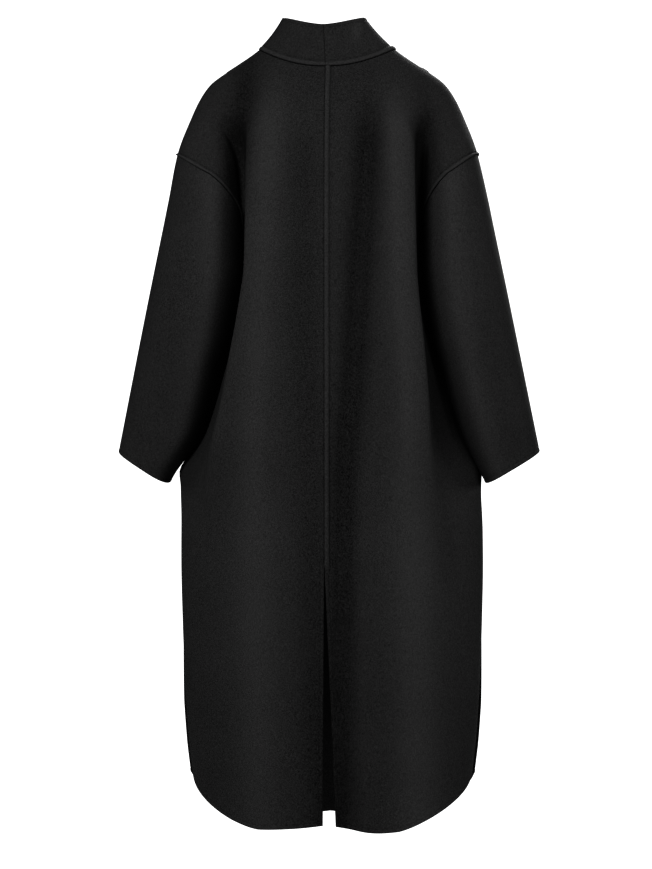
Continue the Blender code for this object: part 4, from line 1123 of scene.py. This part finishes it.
def felted_wool():
    """Double-faced wool, fulled and brushed: matt near-black, fine mottled pile, little sheen, with
    painted shade and highlight in its tone.
    """
    material, tree, shader, place = new_material("felted black wool")
    # The fibres are finer than a pixel, so the mottling is drawn about 2 mm wide to show
    mottle = add_node(tree, "ShaderNodeTexNoise",
                      {"Scale": per_metre(1.8), "Detail": 2.0, "Roughness": 0.6}, {"Vector": place})
    # Brushed streaks run down the cloth, about 2 mm wide and 4 mm long
    stretched = add_node(tree, "ShaderNodeMapping", {"Scale": (1.0, 1.0, 0.5)}, {"Vector": place})
    streak = add_node(tree, "ShaderNodeTexNoise",
                      {"Scale": per_metre(2.0), "Detail": 2.0, "Roughness": 0.5},
                      {"Vector": stretched.outputs["Vector"]})
    # Slow changes of tone over a hand's breadth, where the nap lies differently
    cloudy = add_node(tree, "ShaderNodeTexNoise",
                      {"Scale": per_metre(90.0), "Detail": 2.0, "Roughness": 0.5}, {"Vector": place})
    grain = add_node(tree, "ShaderNodeMix", {"data_type": "FLOAT", "Factor": 0.25},
                     {"A": mottle.outputs["Fac"], "B": streak.outputs["Fac"]})
    tone = add_node(tree, "ShaderNodeMix", {"data_type": "FLOAT", "Factor": 0.07},
                    {"A": grain.outputs["Result"], "B": cloudy.outputs["Fac"]})
    # Painted highlight on ridges, welts and the dent; painted shade in troughs, at edges, on the yoke
    # and toward the hem
    painted_light = add_node(tree, "ShaderNodeAttribute", {"attribute_name": PAINTED_LIGHT_LAYER})
    shaded = add_node(tree, "ShaderNodeMath", {"operation": "MULTIPLY_ADD"},
                      {0: painted_light.outputs["Fac"], 2: tone.outputs["Result"]})
    shaded.inputs[1].default_value = PAINTED_LIGHT_STRENGTH
    ramp = add_node(tree, "ShaderNodeValToRGB", None, {"Fac": shaded.outputs["Value"]},
                    ((0.17, "#070707"), (0.82, "#303030")))
    tree.links.new(ramp.outputs["Color"], shader.inputs["Base Color"])
    painted_light_and_nap_bump = add_node(tree, "ShaderNodeBump", {"Strength": 0.35, "Distance": 0.0006},
                   {"Height": grain.outputs["Result"]})
    tree.links.new(painted_light_and_nap_bump.outputs["Normal"], shader.inputs["Normal"])
    rough = add_node(tree, "ShaderNodeMapRange", {"To Min": 0.86, "To Max": 0.98},
                     {"Value": mottle.outputs["Fac"]})
    tree.links.new(rough.outputs["Result"], shader.inputs["Roughness"])
    set_inputs(shader, {"IOR": 1.45, "Specular IOR Level": 0.03, "Sheen Weight": 0.004,
                        "Sheen Roughness": 0.5, "Sheen Tint": linear("#9aa0a8")})
    return material


def polished_horn():
    """Black horn, turned and part polished: dark brown streaks under a satin gloss."""
    material, tree, shader, place = new_material("polished black horn")
    stretched = add_node(tree, "ShaderNodeMapping",
                         {"Scale": (0.25, 1.0, 1.0), "Rotation": (0.0, 0.6, 0.0)}, {"Vector": place})
    streak = add_node(tree, "ShaderNodeTexNoise",
                      {"Scale": per_metre(2.5), "Detail": 4.0, "Roughness": 0.6, "Distortion": 0.6},
                      {"Vector": stretched.outputs["Vector"]})
    ramp = add_node(tree, "ShaderNodeValToRGB", None, {"Fac": streak.outputs["Fac"]},
                    ((0.38, "#0e0c0b"), (0.75, "#2b231d")))
    tree.links.new(ramp.outputs["Color"], shader.inputs["Base Color"])
    rough = add_node(tree, "ShaderNodeMapRange", {"To Min": 0.26, "To Max": 0.44},
                     {"Value": streak.outputs["Fac"]})
    tree.links.new(rough.outputs["Result"], shader.inputs["Roughness"])
    set_inputs(shader, {"IOR": 1.54})
    return material


def twisted_thread():
    """Black polyester thread, twisted: a soft gloss broken by the twist."""
    material, tree, shader, place = new_material("twisted black thread")
    # The twist of a sewing thread, 0.7 mm a turn
    twist = add_node(tree, "ShaderNodeTexWave", {"Scale": per_metre(0.7) / 3.0, "Distortion": 1.5,
                                                 "bands_direction": "DIAGONAL"}, {"Vector": place})
    ramp = add_node(tree, "ShaderNodeValToRGB", None, {"Fac": twist.outputs["Fac"]},
                    ((0.0, "#0b0b0c"), (1.0, "#222326")))
    tree.links.new(ramp.outputs["Color"], shader.inputs["Base Color"])
    bump = add_node(tree, "ShaderNodeBump", {"Strength": 0.4, "Distance": 0.0002},
                    {"Height": twist.outputs["Fac"]})
    tree.links.new(bump.outputs["Normal"], shader.inputs["Normal"])
    set_inputs(shader, {"Roughness": 0.6})
    return material


def pale_floor():
    """Painted studio floor: matt white with a barely visible roller texture."""
    material, tree, shader, place = new_material("matt white paint")
    roller = add_node(tree, "ShaderNodeTexNoise",
                      {"Scale": per_metre(30.0), "Detail": 2.0}, {"Vector": place})
    ramp = add_node(tree, "ShaderNodeValToRGB", None, {"Fac": roller.outputs["Fac"]},
                    ((0.0, "#f4f4f4"), (1.0, "#fafafa")))
    tree.links.new(ramp.outputs["Color"], shader.inputs["Base Color"])
    set_inputs(shader, {"Roughness": 0.9})
    deselect()
    bpy.ops.mesh.primitive_circle_add(vertices=FLOOR_SIDES, radius=FLOOR_RADIUS, fill_type="NGON",
                                      location=(0.0, 0.0, FLOOR_Z))
    floor = bpy.context.object
    floor.name = "studio_floor"
    floor.data.materials.append(material)


def studio():
    pale_floor()
    world = bpy.data.worlds.new("white studio")
    world.use_nodes = True
    # The white background is lit on its own, so the coat meets a dimmer room
    tree = world.node_tree
    seen = add_node(tree, "ShaderNodeLightPath")
    room = add_node(tree, "ShaderNodeMix", {"data_type": "RGBA"},
                    {"Factor": seen.outputs["Is Camera Ray"]})
    room.inputs[6].default_value = linear(SURROUND)
    room.inputs[7].default_value = linear("#ffffff")
    tree.links.new(room.outputs[2], tree.nodes["Background"].inputs["Color"])
    bpy.context.scene.world = world
    bpy.context.scene.view_settings.view_transform = "Standard"
    bpy.context.scene.view_settings.look = "High Contrast"
    for lamp in LAMPS:
        bpy.ops.object.light_add(type="AREA", location=(lamp.x, lamp.y, lamp.z))
        light = bpy.context.object
        light.name = lamp.name
        light.data.energy = lamp.power
        light.data.size = lamp.size
        light.data.spread = math.radians(LAMP_SPREAD)
        aim = np.array([0.0, 0.0, LAMP_AIM_Z]) - np.array([lamp.x, lamp.y, lamp.z])
        turn = math.atan2(-aim[0], aim[1])
        tilt = math.atan2(math.hypot(aim[0], aim[1]), -aim[2])
        light.rotation_euler = (tilt, 0.0, turn)
    turn = math.radians(CAMERA_TURN)
    across, away = CAMERA_DISTANCE * math.sin(turn), CAMERA_DISTANCE * math.cos(turn)
    bpy.ops.object.camera_add(location=(across, -away, CAMERA_Z),
                              rotation=(math.pi / 2.0, 0.0, turn))
    camera = bpy.context.object
    camera.data.sensor_width = SENSOR
    camera.data.lens = CAMERA_DISTANCE / (PIXEL * IMAGE_HEIGHT) * SENSOR
    camera.data.shift_x = -(ORIGIN_PIXEL_X - IMAGE_WIDTH / 2.0) / IMAGE_HEIGHT
    bpy.context.scene.camera = camera


def main():
    wool, horn, thread = felted_wool(), polished_horn(), twisted_thread()
    grids = {(side, half): panel_grid(side, half) for side in (-1, 1) for half in (-1, 1)}
    cloth = {**body_panels(grids), **sleeves(), **collars(grids)}
    for node, (piece, (width, length, area)) in cloth.items():
        piece.data.materials.clear()
        piece.data.materials.append(wool)
        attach(piece, "root")
        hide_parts(node)
    for node, (button, hole) in buttons(grids[(1, 1)], horn, thread).items():
        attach(button, "root")
        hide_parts(node)
        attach(hole, "root")
    studio()


main()
